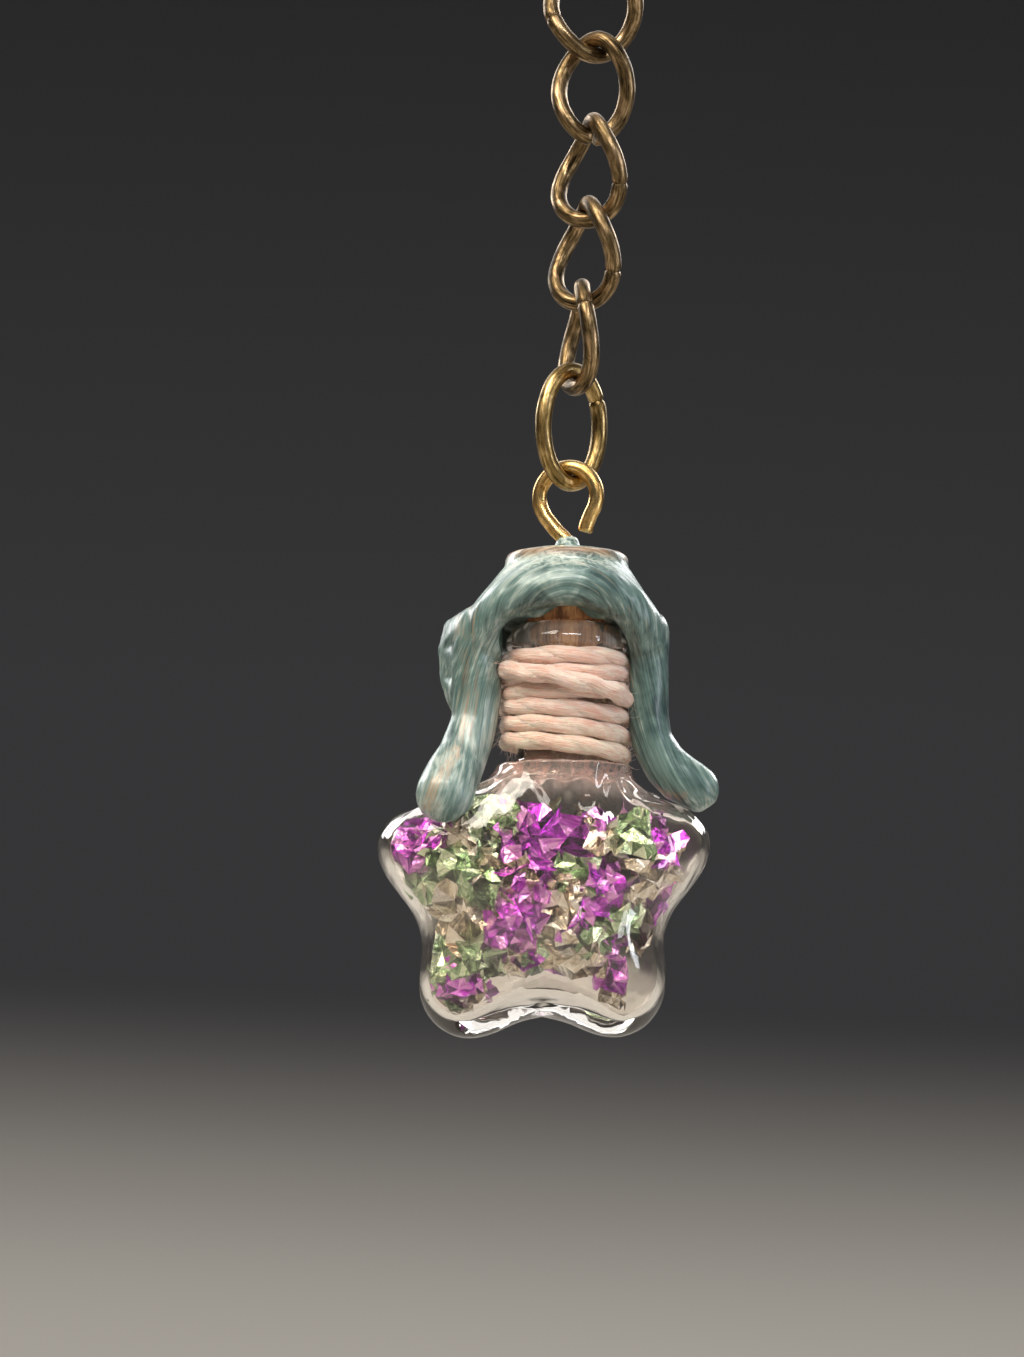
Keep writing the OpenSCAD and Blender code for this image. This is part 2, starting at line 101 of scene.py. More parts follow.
# Chain. The angles are the turn of each link's wire about the upright, at its crown and at its foot.
# gap_at is the angle round the link where its ends meet. gap and sway are in wire diameters, and
# squeeze is the link's width against the stated one. The last row is the drop ring.
LINKS = [
    # crown yaw, foot yaw, gap_at, gap, sway, squeeze
    (-35, 35, 200, 0.01, 0.15, 1),
    (-42, 24, 272, 0.32, 0.38, 0.84),
    (-82, -22, 340, 0.01, 0.42, 1),
    (-82, -28, 335, 0.01, 0.38, 1),
    (-92, -64, 30, 0.01, 0.28, 1),
    (38, 38, 33, 0.012, 0.04, 1),
]
RING = len(LINKS) - 1

# Brass finishes: the tone in hollows, on faces and where it is rubbed, and the roughness there
BRASS = {
    # dark, body, light, polish
    "antiqued_brass_wire": ("#241c13", "#6f5c3f", "#c6a781", 0.30),
    "tarnished_brass_wire": ("#43361f", "#93794a", "#dcc18e", 0.26),
    "bright_brass_wire": ("#8f6830", "#deb673", "#fbdc9f", 0.20),
}

# Screw eye, in shares of its loop's radius from the loop's centre, with the arc in degrees
EYE_FREE_END = [(0.60, -1.20), (0.68, -0.92)]
EYE_ARC = (-33, 213)
EYE_LIMB = [(-0.80, -0.62), (-0.43, -1.08), (-0.07, -1.45), (0, -1.8)]

# Star bottle. side and front are half widths and half depths, and the heights are shares of the
# star's, from the bottom of its feet. neck is how far a row has turned into the neck's foot, and foot
# how much of the thick foot its glass has.
STAR = [
    # side, side_h, front, front_h, neck, foot
    (0.155, 0.062, 0.280, 0.089, 0, 1),
    (0.273, 0.024, 0.420, 0.108, 0, 1),
    (0.400, 0.002, 0.530, 0.135, 0, 0.9),
    (0.510, 0.009, 0.620, 0.168, 0, 0.75),
    (0.614, 0.040, 0.710, 0.206, 0, 0.55),
    (0.695, 0.096, 0.790, 0.249, 0, 0.3),
    (0.736, 0.166, 0.860, 0.298, 0, 0.12),
    (0.738, 0.236, 0.915, 0.349, 0, 0),
    (0.723, 0.311, 0.955, 0.401, 0, 0),
    (0.723, 0.380, 0.980, 0.453, 0, 0),
    (0.764, 0.456, 0.995, 0.504, 0, 0),
    (0.855, 0.525, 1.000, 0.552, 0, 0),
    (0.945, 0.596, 0.998, 0.601, 0, 0),
    (0.998, 0.670, 0.985, 0.650, 0, 0),
    (0.998, 0.734, 0.960, 0.699, 0, 0),
    (0.945, 0.794, 0.930, 0.747, 0, 0),
    (0.855, 0.834, 0.895, 0.796, 0, 0),
    (0.727, 0.863, 0.860, 0.845, 0, 0),
    (0.600, 0.892, 0.835, 0.888, 0, 0),
    (0.490, 0.925, 0.820, 0.925, 0.15, 0),
    (0.420, 0.962, 0.800, 0.962, 0.6, 0),
    (0.400, 0.986, 0.800, 0.986, 1, 0),
]
# Height of the notch between its feet, as a share of the star's
STAR_NOTCH = 0.083
# Foot of the neck: whether a ring starts from the foot's edge (1) or the neck (0), how far it stands
# out from there and up, in millimetres
NECK_FOOT = [
    # from_edge, out, up
    (1, 0, -0.16),
    (1, -0.22, -0.03),
    (1, -0.7, 0),
    (0, 0.3, 0),
    (0, 0, 0.1),
]
# Heights up the neck below the lip, as shares of its length below the mouth
WAIST = (0.9, 0.6, 0.35)
# Rolled lip: how far it stands out from the neck, and its height below the mouth, as shares
LIP = [
    # out, down
    (0.00, -1.00),
    (0.55, -0.97),
    (0.90, -0.88),
    (1.00, -0.74),
    (0.93, -0.55),
    (0.76, -0.36),
    (0.50, -0.20),
    (0.15, -0.06),
    (-0.25, 0.00),
]

# Thread: angle round the neck in degrees (-90 at the front), height in turns above the lowest turn,
# and lift over what lies beneath, in thread thicknesses
WINDING = [
    # angle, row, lift
    (-172, 5.66, 0),
    (-120, 5.72, 0),
    (0, 5.72, 0),
    (90, 5.66, 0),
    (180, 5.22, 0),
    (215, 4.90, 0.68),
    (250, 4.46, 0.92),
    (285, 3.94, 0.92),
    (305, 3.64, 0.86),
    (332, 3.32, 0.40),
    (362, 3.11, 0),
    (450, 3.36, 0),
    (540, 3.60, 0),
    (630, 3.60, 0),
    (722, 3.98, 0),
    (810, 4.24, 0),
    (900, 4.40, 0),
    (990, 4.66, 0),
    (1060, 4.88, 0),
    (1082, 4.88, 0),
    (1115, 4.60, 0.2),
    (1150, 4.06, 0.94),
    (1185, 3.40, 0.94),
    (1210, 3.08, 0.92),
    (1240, 2.84, 0.15),
    (1260, 2.80, 0),
    (1440, 2.24, 0),
    (1620, 1.79, 0),
    (1800, 1.14, 0),
    (1980, 0.78, 0),
    (2160, 0.00, 0),
    (2240, 0.00, 0),
]
TOP_ROW = WINDING[0][1]
# Degrees between the points of the thread's path
WINDING_STEP = 4

# Streaks of cream and copper wax in pixels of the photograph, each with its width and its strength
WAX_STREAKS = [
    # path, width, strength
    ([(452, 590), (463, 640), (466, 690), (464, 726), (457, 749)], 5, 0.52),
    ([(470, 600), (475, 650), (476, 700), (470, 735)], 3, 0.50),
    ([(457, 749), (446, 769), (434, 788), (429, 806)], 7, 0.74),
    ([(636, 772), (650, 786), (668, 795), (682, 796)], 5, 0.62),
]

# Foils: the painted shade of each, its own tint and its painted highlight, which its facets and wrinkles
# take at random
FOILS = {
    # painted shade, tint, painted highlight
    "magenta": ("#310a40", "#c233d6", "#fbb8fb"),
    "green": ("#1d2e1d", "#8fb182", "#e8f6da"),
    "silver": ("#4b3829", "#dccfb8", "#fffdf8"),
}
# Foil pieces that show from the front, with the place and width of each in pixels of the photograph
FLAKES = {
    # across, down, width
    "magenta": [
        (403, 842, 30), (428, 833, 26), (523, 826, 36), (523, 852, 36), (574, 838, 44), (669, 850, 30),
        (606, 874, 26), (621, 896, 32), (596, 903, 28), (534, 879, 30), (522, 907, 34), (519, 944, 34),
        (606, 981, 30), (463, 986, 30), (436, 1000, 26), (660, 917, 22), (500, 930, 24), (580, 930, 24),
    ],
    "green": [
        (424, 858, 32), (445, 878, 36), (472, 861, 34), (488, 812, 28), (635, 830, 34), (580, 876, 30),
        (484, 893, 32), (630, 924, 30), (600, 940, 28), (436, 964, 32), (466, 958, 38), (497, 975, 36),
        (416, 888, 28), (507, 812, 22), (538, 960, 24),
    ],
    "silver": [
        (606, 834, 28), (652, 874, 38), (503, 884, 38), (557, 918, 38), (564, 895, 26), (480, 925, 40),
        (442, 912, 36), (556, 954, 36), (583, 968, 28), (457, 1001, 34), (624, 1014, 22), (524, 968, 26),
        (668, 885, 26), (640, 900, 26), (456, 834, 24), (610, 1000, 20),
    ],
}
# Share of each foil among the flakes behind
FOIL_SHARES = [0.36, 0.32, 0.32]
# Right of and below this pixel of the photograph the bottle holds next to nothing
BARE_LOBE = (612, 940)
# What each flake's point carries: its width, its number in the pattern, how far painted shade darkens it
# and its turn
FLAKE_DATA = {"size": "FLOAT", "seed": "FLOAT", "painted_lit": "FLOAT", "turn": "FLOAT_VECTOR"}

# Soft boxes: places from the aim point and sizes in metres, and power in watts
LAMPS = [
    # name, place, width, height, watts, colour
    ("key", (-0.36, -0.40, 0.60), 0.42, 0.46, 7.4, "#fff6e8"),
    ("strip", (0.52, -0.26, 0.06), 0.06, 0.50, 1.2, "#f2f6ff"),
    ("front", (0.08, -0.50, 0.38), 0.30, 0.05, 1.5, "#ffffff"),
    ("back right", (0.40, 0.52, 0.36), 0.26, 0.26, 1.8, "#ffffff"),
    ("back left", (-0.44, 0.50, 0.30), 0.24, 0.30, 1.6, "#ffffff"),
    ("veil", (-0.10, 0.66, 0.52), 1.10, 0.36, 1.6, "#ffffff"),
    ("overhead", (0.05, -0.10, 0.60), 0.20, 0.20, 0.8, "#ffffff"),
    ("sweep", (0.0, 0.55, 0.75), 0.80, 0.30, 4.0, "#ffffff"),
]


class ChainSizes(bpy.types.PropertyGroup):
    wire: length("Wire", "Diameter of the wire", 1.1)
    link_l: length("Link length", "Outer length of a curb link", 8.1)
    link_w: length("Link width", "Outer width of a curb link", 6.8)
    ring_l: length("Ring length", "Outer length of the drop ring", 8.9)
    ring_w: length("Ring width", "Outer width of the drop ring", 5.9)
    play: length("Play", "Clearance where one wire hangs in the next", 0.2)
    take_up: length("Take-up", "How much of that clearance each end of a link takes up under load", 0.09)
    filed: length("Filed", "Length of the filed edge at each end", 0.09)
    uneven: length("Uneven", "Unevenness of the bent wire", 0.05)
    sides: number("Sides", "Sides round the wire", 20, 8)
    stations: number("Stations", "Sections along one link", 110, 24)


class EyeSizes(bpy.types.PropertyGroup):
    wire: length("Wire", "Diameter of the screw eye's wire", 1.0)
    loop: length("Loop", "Outer diameter of its loop", 5.0)
    rise: length("Rise", "Height of the loop's centre above the wax", 3.41)
    shank: length("Shank", "Length of the shank below the wax", 6.0)
    yaw: angle("Yaw", "Turn of the loop about the upright", -20)
    filed: length("Filed", "Length of the filed edge at each end", 0.12)
    uneven: length("Uneven", "Unevenness of the bent wire", 0.035)
    sides: number("Sides", "Sides round the wire", 24, 8)
    stations: number("Stations", "Sections along the wire", 170, 24)


class BottleSizes(bpy.types.PropertyGroup):
    mouth_drop: length("Mouth drop", "Distance from the swing's axis down to the mouth", 9.45)
    lean: angle("Lean", "Lean of the bottle under its off-centre weight", 2)
    star_w: length("Star width", "Width of the star, tip to tip", 22)
    star_h: length("Star height", "Height of the star, up to the foot of the neck", 18)
    star_d: length("Star depth", "Thickness of the star, front to back", 10.5)
    star_shift: length("Star shift", "Sideways offset of the star from the neck's axis", -1.3)
    star_turn: angle("Star turn", "Turn of the star in its own plane", 1.2)
    wall: length("Wall", "Thickness of the star's glass at its front and back", 0.75)
    side_wall: length("Side wall", "Thickness of its glass at the sides", 0.62)
    base_wall: length("Base wall", "Thickness of its glass at the foot", 1.8)
    neck_wall: length("Neck wall", "Thickness of the neck's glass", 0.75)
    neck_d: length("Neck", "Outer diameter of the neck", 6.3)
    neck_l: length("Neck length", "Height of the neck with its lip", 9.3)
    foot_d: length("Neck foot", "Outer diameter at the foot of the neck", 9)
    lip_d: length("Lip", "Outer diameter of the rolled lip", 8.1)
    lip_h: length("Lip height", "Height of the rolled lip", 1.85)
    bevel: length("Bevel", "Bevel inside the mouth", 0.2)
    swirl: length("Swirl", "Unevenness of the blown glass", 0.03)
    ripple: length("Ripple", "Unevenness where the neck was drawn out", 0.22)
    cork_head_d: length("Cork head", "Diameter of the cork above the mouth", 5.3)
    cork_head_h: length("Cork head height", "Height of the cork above the mouth", 4.1)
    cork_plug_l: length("Cork plug", "Depth of the cork in the neck", 3.9)
    cork_gap: length("Cork gap", "Clearance between the cork's shoulder and the lip", 0.08)
    cork_edge: length("Cork edge", "Bevel of the cork's edges", 0.18)
    cork_pit: length("Cork pits", "Depth of the deepest pits in the cork", 0.1)
    squash: length("Squash", "How far the cork is pressed on the glass, so that no air shows between", 0.03)
    glass: colour("Glass", "Body tint of the glass", "#f6f1ea")
    cork: colour("Cork", "Cut face of the cork", "#b07c52")
    cork_light: colour("Cork, light", "Pale grain of the cork", "#d8a671")
    cork_pore: colour("Cork pores", "Pores and lenticels of the cork", "#6d482f")


class ThreadSizes(bpy.types.PropertyGroup):
    thread: length("Thread", "Thickness of the thread", 1.14)
    gap: length("Gap", "Clearance between the thread and the neck", 0.08)
    twist: length("Twist", "Length in which the plies turn once", 6.0)
    plies: number("Plies", "Plies in the thread", 2, 1)
    stations: number("Stations", "Sections along the thread", 1100, 24)
    hairs: number("Hairs", "Stray fibres to each square millimetre", 2.8)
    hair: length("Hair", "Length of a stray fibre", 1.1)
    cotton: colour("Cotton", "Dyed cotton in the light", "#fee2d2")
    # Painted shade: this colour is painted where the fibre and slub pattern runs low, mostly in the grooves
    # of the fibre relief
    cotton_painted_shade: colour("Cotton shade", "Dyed cotton in the furrows between turns", "#e8b09a")
    # A creamier faded dye, and partly painted light: paler to offset the shade of the lowest turns
    cotton_faded_and_painted_light: colour("Cotton, faded", "The paler dye of the lowest turns", "#ffead2")


class WaxSizes(bpy.types.PropertyGroup):
    top: length("Top", "Height of the wax above the mouth", 5.2)
    grain: length("Grain", "Size of the voxels that the poured form is melted in", 0.15)
    melt: number("Melt", "Rounds of smoothing that melt the lumps together", 9)
    ridge: length("Ridge", "Relief of the flow lines", 0.08)
    spring: length("Spring", "Height above the mouth where the two runs turn into the arch", -1)
    arch: length("Arch", "Radius of the flow round the arch", 5)
    spread_left: length("Spread, left", "How far the opening's left edge stands back at the lip", 1.1)
    spread_right: length("Spread, right", "How far the opening's right edge stands back at the lip", 0.4)
    teal: colour("Teal", "Middle tone of the pigmented wax", "#637d77")
    teal_light: colour("Pearl teal", "Where the pearl pigment has gathered", "#c0cbc1")
    teal_deep: colour("Deep teal", "Where the pigment is thin", "#2a4240")
    copper: colour("Copper", "Streaks and rim of copper wax", "#75543b")
    cream: colour("Cream", "Streaks of cream wax", "#c8b79c")


class FoilSizes(bpy.types.PropertyGroup):
    corners: number("Corners", "Corners along one side of a flake", 6, 4)
    crumple: number("Crumple", "Depth of the folds, as a share of a flake", 0.8)
    crease: number("Crease", "Depth of the creases, as a share of a flake", 0.24)
    thickness: length("Thickness", "Thickness of the foil as drawn", 0.03)
    clearance: length("Clearance", "Least distance to the glass", 0.08)
    stuffing: length("Stuffing", "Spacing of the flakes behind those that show from the front", 2.1)
    small: length("Smallest", "Width of the smallest flake behind", 2.1)
    large: length("Largest", "Width of the largest flake behind", 3.1)
    fill: length("Fill line", "Height of the top of the filling below the mouth", 12.4)
    sunk: number("Sunk", "Depth of a front flake behind the glass, as a share of its width", 0.34)
    slack: number("Slack", "Width of a front sheet before it is crumpled, against the flake's", 1.35)
    tilt: angle("Tilt", "Most that a front flake is turned from the glass", math.degrees(0.6))


class StageSettings(bpy.types.PropertyGroup):
    aim: FloatVectorProperty(
        name="Aim", description="Point that the camera looks at", default=(-3.10 * MM, 0, -48.90 * MM),
        subtype="TRANSLATION", size=3, precision=5,
    )
    distance: length("Distance", "Distance of the camera from that point", 250)
    field: length("Field", "Height of the view at that point", 89.6)
    elevation: angle("Elevation", "Angle that the camera stands above the point", -7)
    roll: angle("Roll", "Roll of the camera", 2.8)
    drop: length("Drop", "Depth of the floor below the origin", 200)
    radius: length("Radius", "Radius of the paper wall", 1400)
    sweep: length("Sweep", "Radius of the bend between the floor and the wall", 600)
    top: length("Top", "Height of the paper wall", 1500)
    floor: colour("Floor", "Paper of the floor", "#b8b3ab")
    wall: colour("Backdrop", "Paper of the backdrop", "#343437")
    # Painted shade: the top of the backdrop is painted in this darker colour
    high: colour("High backdrop", "Paper at the top of the backdrop, out of the light", "#161617")
    screen: colour("Screen", "Dark screen behind the camera, which metal and glass mirror", "#1c1c1e")
    air: colour("Air", "Light from the open top of the stage", "#9a9da3")
    glow: number("Glow", "Strength of that light", 0.38)


def add(tree, kind, inputs=(), output=0, stops=(), **settings):
    """Adds a node with its settings, sets or links its inputs by name or place, and gives one output."""
    families = [f + kind for f in ("ShaderNode", "GeometryNode", "FunctionNode", "Node")]
    node = tree.nodes.new(next(f for f in families if hasattr(bpy.types, f)))
    for name, value in settings.items():
        setattr(node, name, value)
    for key, value in inputs.items() if isinstance(inputs, dict) else enumerate(inputs):
        if isinstance(value, bpy.types.NodeSocket):
            tree.links.new(value, node.inputs[key])
        else:
            node.inputs[key].default_value = value
    for index, (place, tone) in enumerate(stops):
        elements = node.color_ramp.elements
        ends = {0: 0, len(stops) - 1: -1}
        element = elements[ends[index]] if index in ends else elements.new(place)
        element.position = place
        element.color = tone
    return node.outputs[output] if len(node.outputs) else node


def weighed(tree, *parts):
    """The sum of some patterns, each times its weight."""
    total = 0.0
    for pattern, weight in parts:
        total = add(tree, "Math", [pattern, weight, total], operation="MULTIPLY_ADD")
    return total


def streaks(tree, place, width, stretch=(1, 1, 1), detail=3.0, stray=0.0):
    """A random pattern so many metres wide, drawn out by so much along each axis, from 0 to 1."""
    drawn = add(tree, "VectorMath", [place, [1 / (width * s) for s in stretch]], operation="MULTIPLY")
    shape = {"Vector": drawn, "Scale": 1.0, "Detail": detail, "Roughness": 0.6, "Distortion": stray}
    return add(tree, "TexNoise", shape, "Fac")


def new_material(name, paint, *tones):
    """A new material. paint adds the nodes of its finish to the tree and gives the finished shader."""
    material = bpy.data.materials.new(name)
    material.use_nodes = True
    tree = material.node_tree
    tree.nodes.clear()
    add(tree, "OutputMaterial", [paint(tree, *tones)])
    return material


def new_shape_tree(name, **sockets):
    """A Geometry Nodes tree with named inputs. Gives the tree, its inputs and its output node."""
    tree = bpy.data.node_groups.new(name, "GeometryNodeTree")
    tree.interface.new_socket("Geometry", in_out="INPUT", socket_type="NodeSocketGeometry")
    tree.interface.new_socket("Geometry", in_out="OUTPUT", socket_type="NodeSocketGeometry")
    for label, kind in sockets.items():
        tree.interface.new_socket(label, in_out="INPUT", socket_type="NodeSocket" + kind)
    given = add(tree, "GroupInput").node.outputs
    return tree, given, add(tree, "GroupOutput")


def close_shape_tree(tree, out, geometry, material, smooth):
    """Ends a tree: instances realized, faces shaded and the material set."""
    solid = add(tree, "RealizeInstances", [geometry])
    shaded = add(tree, "SetShadeSmooth", {"Geometry": solid, "Shade Smooth": smooth})
    tree.links.new(add(tree, "SetMaterial", {"Geometry": shaded, "Material": material}), out.inputs[0])


def new_object(name, data):
    """Puts a mesh, a lamp or a camera into the scene under a name."""
    obj = bpy.data.objects.new(name, data)
    bpy.context.scene.collection.objects.link(obj)
    return obj


def plain(source, name):
    """The evaluated form of an object as a plain mesh object, which takes its place."""
    graph = bpy.context.evaluated_depsgraph_get()
    mesh = bpy.data.meshes.new_from_object(
        source.evaluated_get(graph), preserve_all_data_layers=True, depsgraph=graph
    )
    mesh.name = name
    bpy.data.objects.remove(source)
    return new_object(name, mesh)


def grown(source, name, tree, values):
    """Runs a node tree on an object and returns the result as a plain mesh object."""
    modifier = source.modifiers.new("Grow", "NODES")
    modifier.node_group = tree
    for item in tree.interface.items_tree:
        if item.in_out == "INPUT" and item.name in values:
            modifier[item.identifier] = values[item.name]
    return plain(source, name)


def path_object(path):
    """A line of points as an object of edges."""
    mesh = bpy.data.meshes.new("path")
    mesh.from_pydata([tuple(p) for p in path], [(i, i + 1) for i in range(len(path) - 1)], [])
    return new_object("path", mesh)


def smooth_path(points, steps):
    """A Catmull-Rom curve through the points, with so many steps between each pair."""
    p = [Vector(q) for q in points]
    p = [p[0] * 2 - p[1], *p, p[-1] * 2 - p[-2]]
    out = []
    for a, b, c, d in zip(p, p[1:], p[2:], p[3:]):
        for k in range(steps):
            t = k / steps
            bend = (2 * a - 5 * b + 4 * c - d) * t * t + (3 * b - a - 3 * c + d) * t**3
            out.append((2 * b + (c - a) * t + bend) / 2)
    return [*out, p[-2]]


def round_ring(radius, z, sectors=48):
    """A level ring about the upright axis."""
    turns = [2 * math.pi * j / sectors for j in range(sectors)]
    return [Vector((radius * math.cos(a), radius * math.sin(a), z)) for a in turns]


def bands(rings):
    """The faces between rings of points that are numbered one ring after the other."""
    n = len(rings[0])
    return [
        (k * n + j, (k + 1) * n + j, (k + 1) * n + (j + 1) % n, k * n + (j + 1) % n)
        for k in range(len(rings) - 1)
        for j in range(n)
    ]


def skin_mesh(name, rings, poles):
    """A closed mesh over rings of points, with a pole at each end."""
    n = len(rings[0])
    last = len(rings) - 1
    points = [tuple(p) for ring in rings for p in ring] + [tuple(p) for p in poles]
    faces = bands(rings)
    faces += [(n * (last + 1), j, (j + 1) % n) for j in range(n)]
    faces += [(n * (last + 1) + 1, last * n + (j + 1) % n, last * n + j) for j in range(n)]
    mesh = bpy.data.meshes.new(name)
    mesh.from_pydata(points, [], faces)
    bm = bmesh.new()
    bm.from_mesh(mesh)
    bmesh.ops.recalc_face_normals(bm, faces=bm.faces)
    bm.to_mesh(mesh)
    bm.free()
    mesh.shade_smooth()
    return mesh


def coordinates(mesh):
    """A mesh's vertices and their normals as arrays."""
    both = []
    for field in ("co", "normal"):
        values = np.zeros(len(mesh.vertices) * 3, np.float32)
        mesh.vertices.foreach_get(field, values)
        both.append(values.reshape(-1, 3).astype(float))
    return both


def hung(bottle):
    """The matrix from the bottle's own frame, whose mouth is at the origin, to the part's frame."""
    down = Matrix.Translation((0, 0, -bottle.mouth_drop))
    return Matrix.Translation(PIVOT) @ Matrix.Rotation(-bottle.lean, 4, "Y") @ down


def camera_matrix(stage):
    """Where the camera stands: it looks at the aim point from the front, a little from below."""
    back = Vector((0, -math.cos(stage.elevation), math.sin(stage.elevation)))
    turn = (-back).to_track_quat("-Z", "Y").to_matrix().to_4x4()
    place = Matrix.Translation(Vector(stage.aim) + back * stage.distance)
    return place @ turn @ Matrix.Rotation(stage.roll, 4, "Z")


def photo_ray(stage, across, down):
    """The camera's place and the direction in which it sees a pixel of the photograph."""
    matrix = camera_matrix(stage)
    pixel = stage.field / PHOTO_H
    local = Vector(((across - PHOTO_W / 2) * pixel, (PHOTO_H / 2 - down) * pixel, -stage.distance))
    return matrix.translation, (matrix.to_3x3() @ local).normalized()


def photo_place(stage, point):
    """The pixel of the photograph at which the camera sees a point."""
    local = camera_matrix(stage).inverted() @ Vector(point)
    pixel = stage.field / PHOTO_H / stage.distance
    return PHOTO_W / 2 - local.x / local.z / pixel, PHOTO_H / 2 + local.y / local.z / pixel


def dress(obj, body, slot, *nodes):
    """Hangs a finished piece on its body, in the place of the solids that it stands for."""
    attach(obj, body)
    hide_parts(*nodes)


def wire_brass(tree, dark, body, light, polish):
    """Drawn brass wire, toned dark and rubbed: the tone lies in long lines and blotches along the wire."""
    dark, body, light = linear(dark), linear(body), linear(light)
    place = add(tree, "Attribute", output="Vector", attribute_name="wire_place")
    # Drawing lines about 0.13 mm apart, blotches about 0.6 mm across, and pits of 0.07 mm
    lines = streaks(tree, place, 0.13 * MM, (16, 1, 1), 4.0)
    blotch = streaks(tree, place, 0.6 * MM, (2.4, 1, 1), 4.0, 0.7)
    pits = streaks(tree, place, 0.07 * MM, detail=2.0)
    tone = weighed(tree, (blotch, 0.58), (lines, 0.42))
    tint = add(tree, "ValToRGB", [tone], stops=[(0.38, dark), (0.5, body), (0.64, light)])
    speck = add(tree, "MapRange", [pits, 0.30, 0.39, 0.45, 1.0])
    relief = weighed(tree, (lines, 1.0), (pits, 0.4))
    return add(tree, "BsdfPrincipled", {
        "Base Color": add(tree, "Mix", {0: speck, 6: dark, 7: tint}, 2, data_type="RGBA"),
        "Metallic": 1.0,
        "Roughness": add(tree, "MapRange", [tone, 0.36, 0.64, polish + 0.22, polish]),
        "Normal": add(tree, "Bump", {"Height": relief, "Distance": 0.014 * MM}),
    })


def clear_glass(tree, tint, neck_foot):
    """Blown clear glass, flame-polished. Lamps shine through it on what it holds."""
    place = add(tree, "TexCoord", output="Object")
    across, _, height = add(tree, "SeparateXYZ", [place]).node.outputs
    # Soft cords in the glass, about 1.6 mm apart
    cords = streaks(tree, place, 1.6 * MM, (1, 1, 2.2), 1.0, 0.8)
    # Painted reflection: the pink of the dyed thread is painted into the glass just below it, in wisps, and
    # clouds the glass there
    near = add(tree, "MapRange", [height, neck_foot - 2.6 * MM, neck_foot - 0.3 * MM],
               interpolation_type="SMOOTHSTEP")
    below = add(tree, "MapRange", [height, neck_foot + 0.6 * MM, neck_foot - 0.1 * MM])
    wisps = streaks(tree, place, 0.8 * MM, (1, 1, 3.5), 3.0, 1.5)
    wisp = add(tree, "MapRange", [wisps, 0.42, 0.60, 0.25, 1.15])
    wispy = add(tree, "Math", [below, wisp], operation="MULTIPLY")
    painted_thread_reflection = add(tree, "Math", [near, wispy], operation="MULTIPLY", use_clamp=True)
    # The worked lip is a little cloudy, and its sides are clouded more as a painted reflection of the lamps
    # and wax beside them; the foot of the neck is clouded by the painted thread reflection
    aside = add(tree, "Math", [across], operation="ABSOLUTE")
    lip_cloud_and_painted_reflection = add(tree, "MapRange", [aside, 2.7 * MM, 3.6 * MM, 0.06, 0.30])
    lip = add(tree, "MapRange", [height, neck_foot + 7.3 * MM, neck_foot + 7.8 * MM, 0.0, lip_cloud_and_painted_reflection])
    cloudy = weighed(tree, (lip, 1.0), (painted_thread_reflection, 0.34))
    surface = add(tree, "BsdfPrincipled", {
        "Base Color": add(tree, "Mix", {0: painted_thread_reflection, 6: tint, 7: linear("#d8b0a4")}, 2, data_type="RGBA"),
        "Roughness": 0.01,
        "IOR": 1.47,
        "Transmission Weight": add(tree, "Math", [0.985, cloudy], operation="SUBTRACT"),
        "Normal": add(tree, "Bump", {"Height": cords, "Distance": 0.05 * MM}),
    })
    lamp_ray = add(tree, "LightPath", output="Is Shadow Ray")
    return add(tree, "MixShader", [lamp_ray, surface, add(tree, "BsdfTransparent", [tint])])


def cut_cork(tree, cut, light, pore):
    """Punched natural cork: granular, with dark pores and upright lenticels."""
    place = add(tree, "TexCoord", output="Object")
    # Cells drawn 0.5 mm across, coarser than real ones, lenticels 0.3 mm wide and clouds of 1.2 mm
    cells = add(tree, "TexVoronoi", {"Vector": place, "Scale": 1 / (0.5 * MM)})
    lenticels = streaks(tree, place, 0.3 * MM, (1, 1, 6), 3.0, 0.4)
    cloud = streaks(tree, place, 1.2 * MM, (1, 1, 1.6), 4.0)
    tone = weighed(tree, (cloud, 0.45), (lenticels, 0.55))
    relief = weighed(tree, (cells, 1.0), (lenticels, 1.0))
    return add(tree, "BsdfPrincipled", {
        "Base Color": add(tree, "ValToRGB", [tone], stops=[(0.38, pore), (0.5, cut), (0.64, light)]),
        "Roughness": 0.85,
        "Normal": add(tree, "Bump", {"Height": relief, "Distance": 0.05 * MM}),
    })


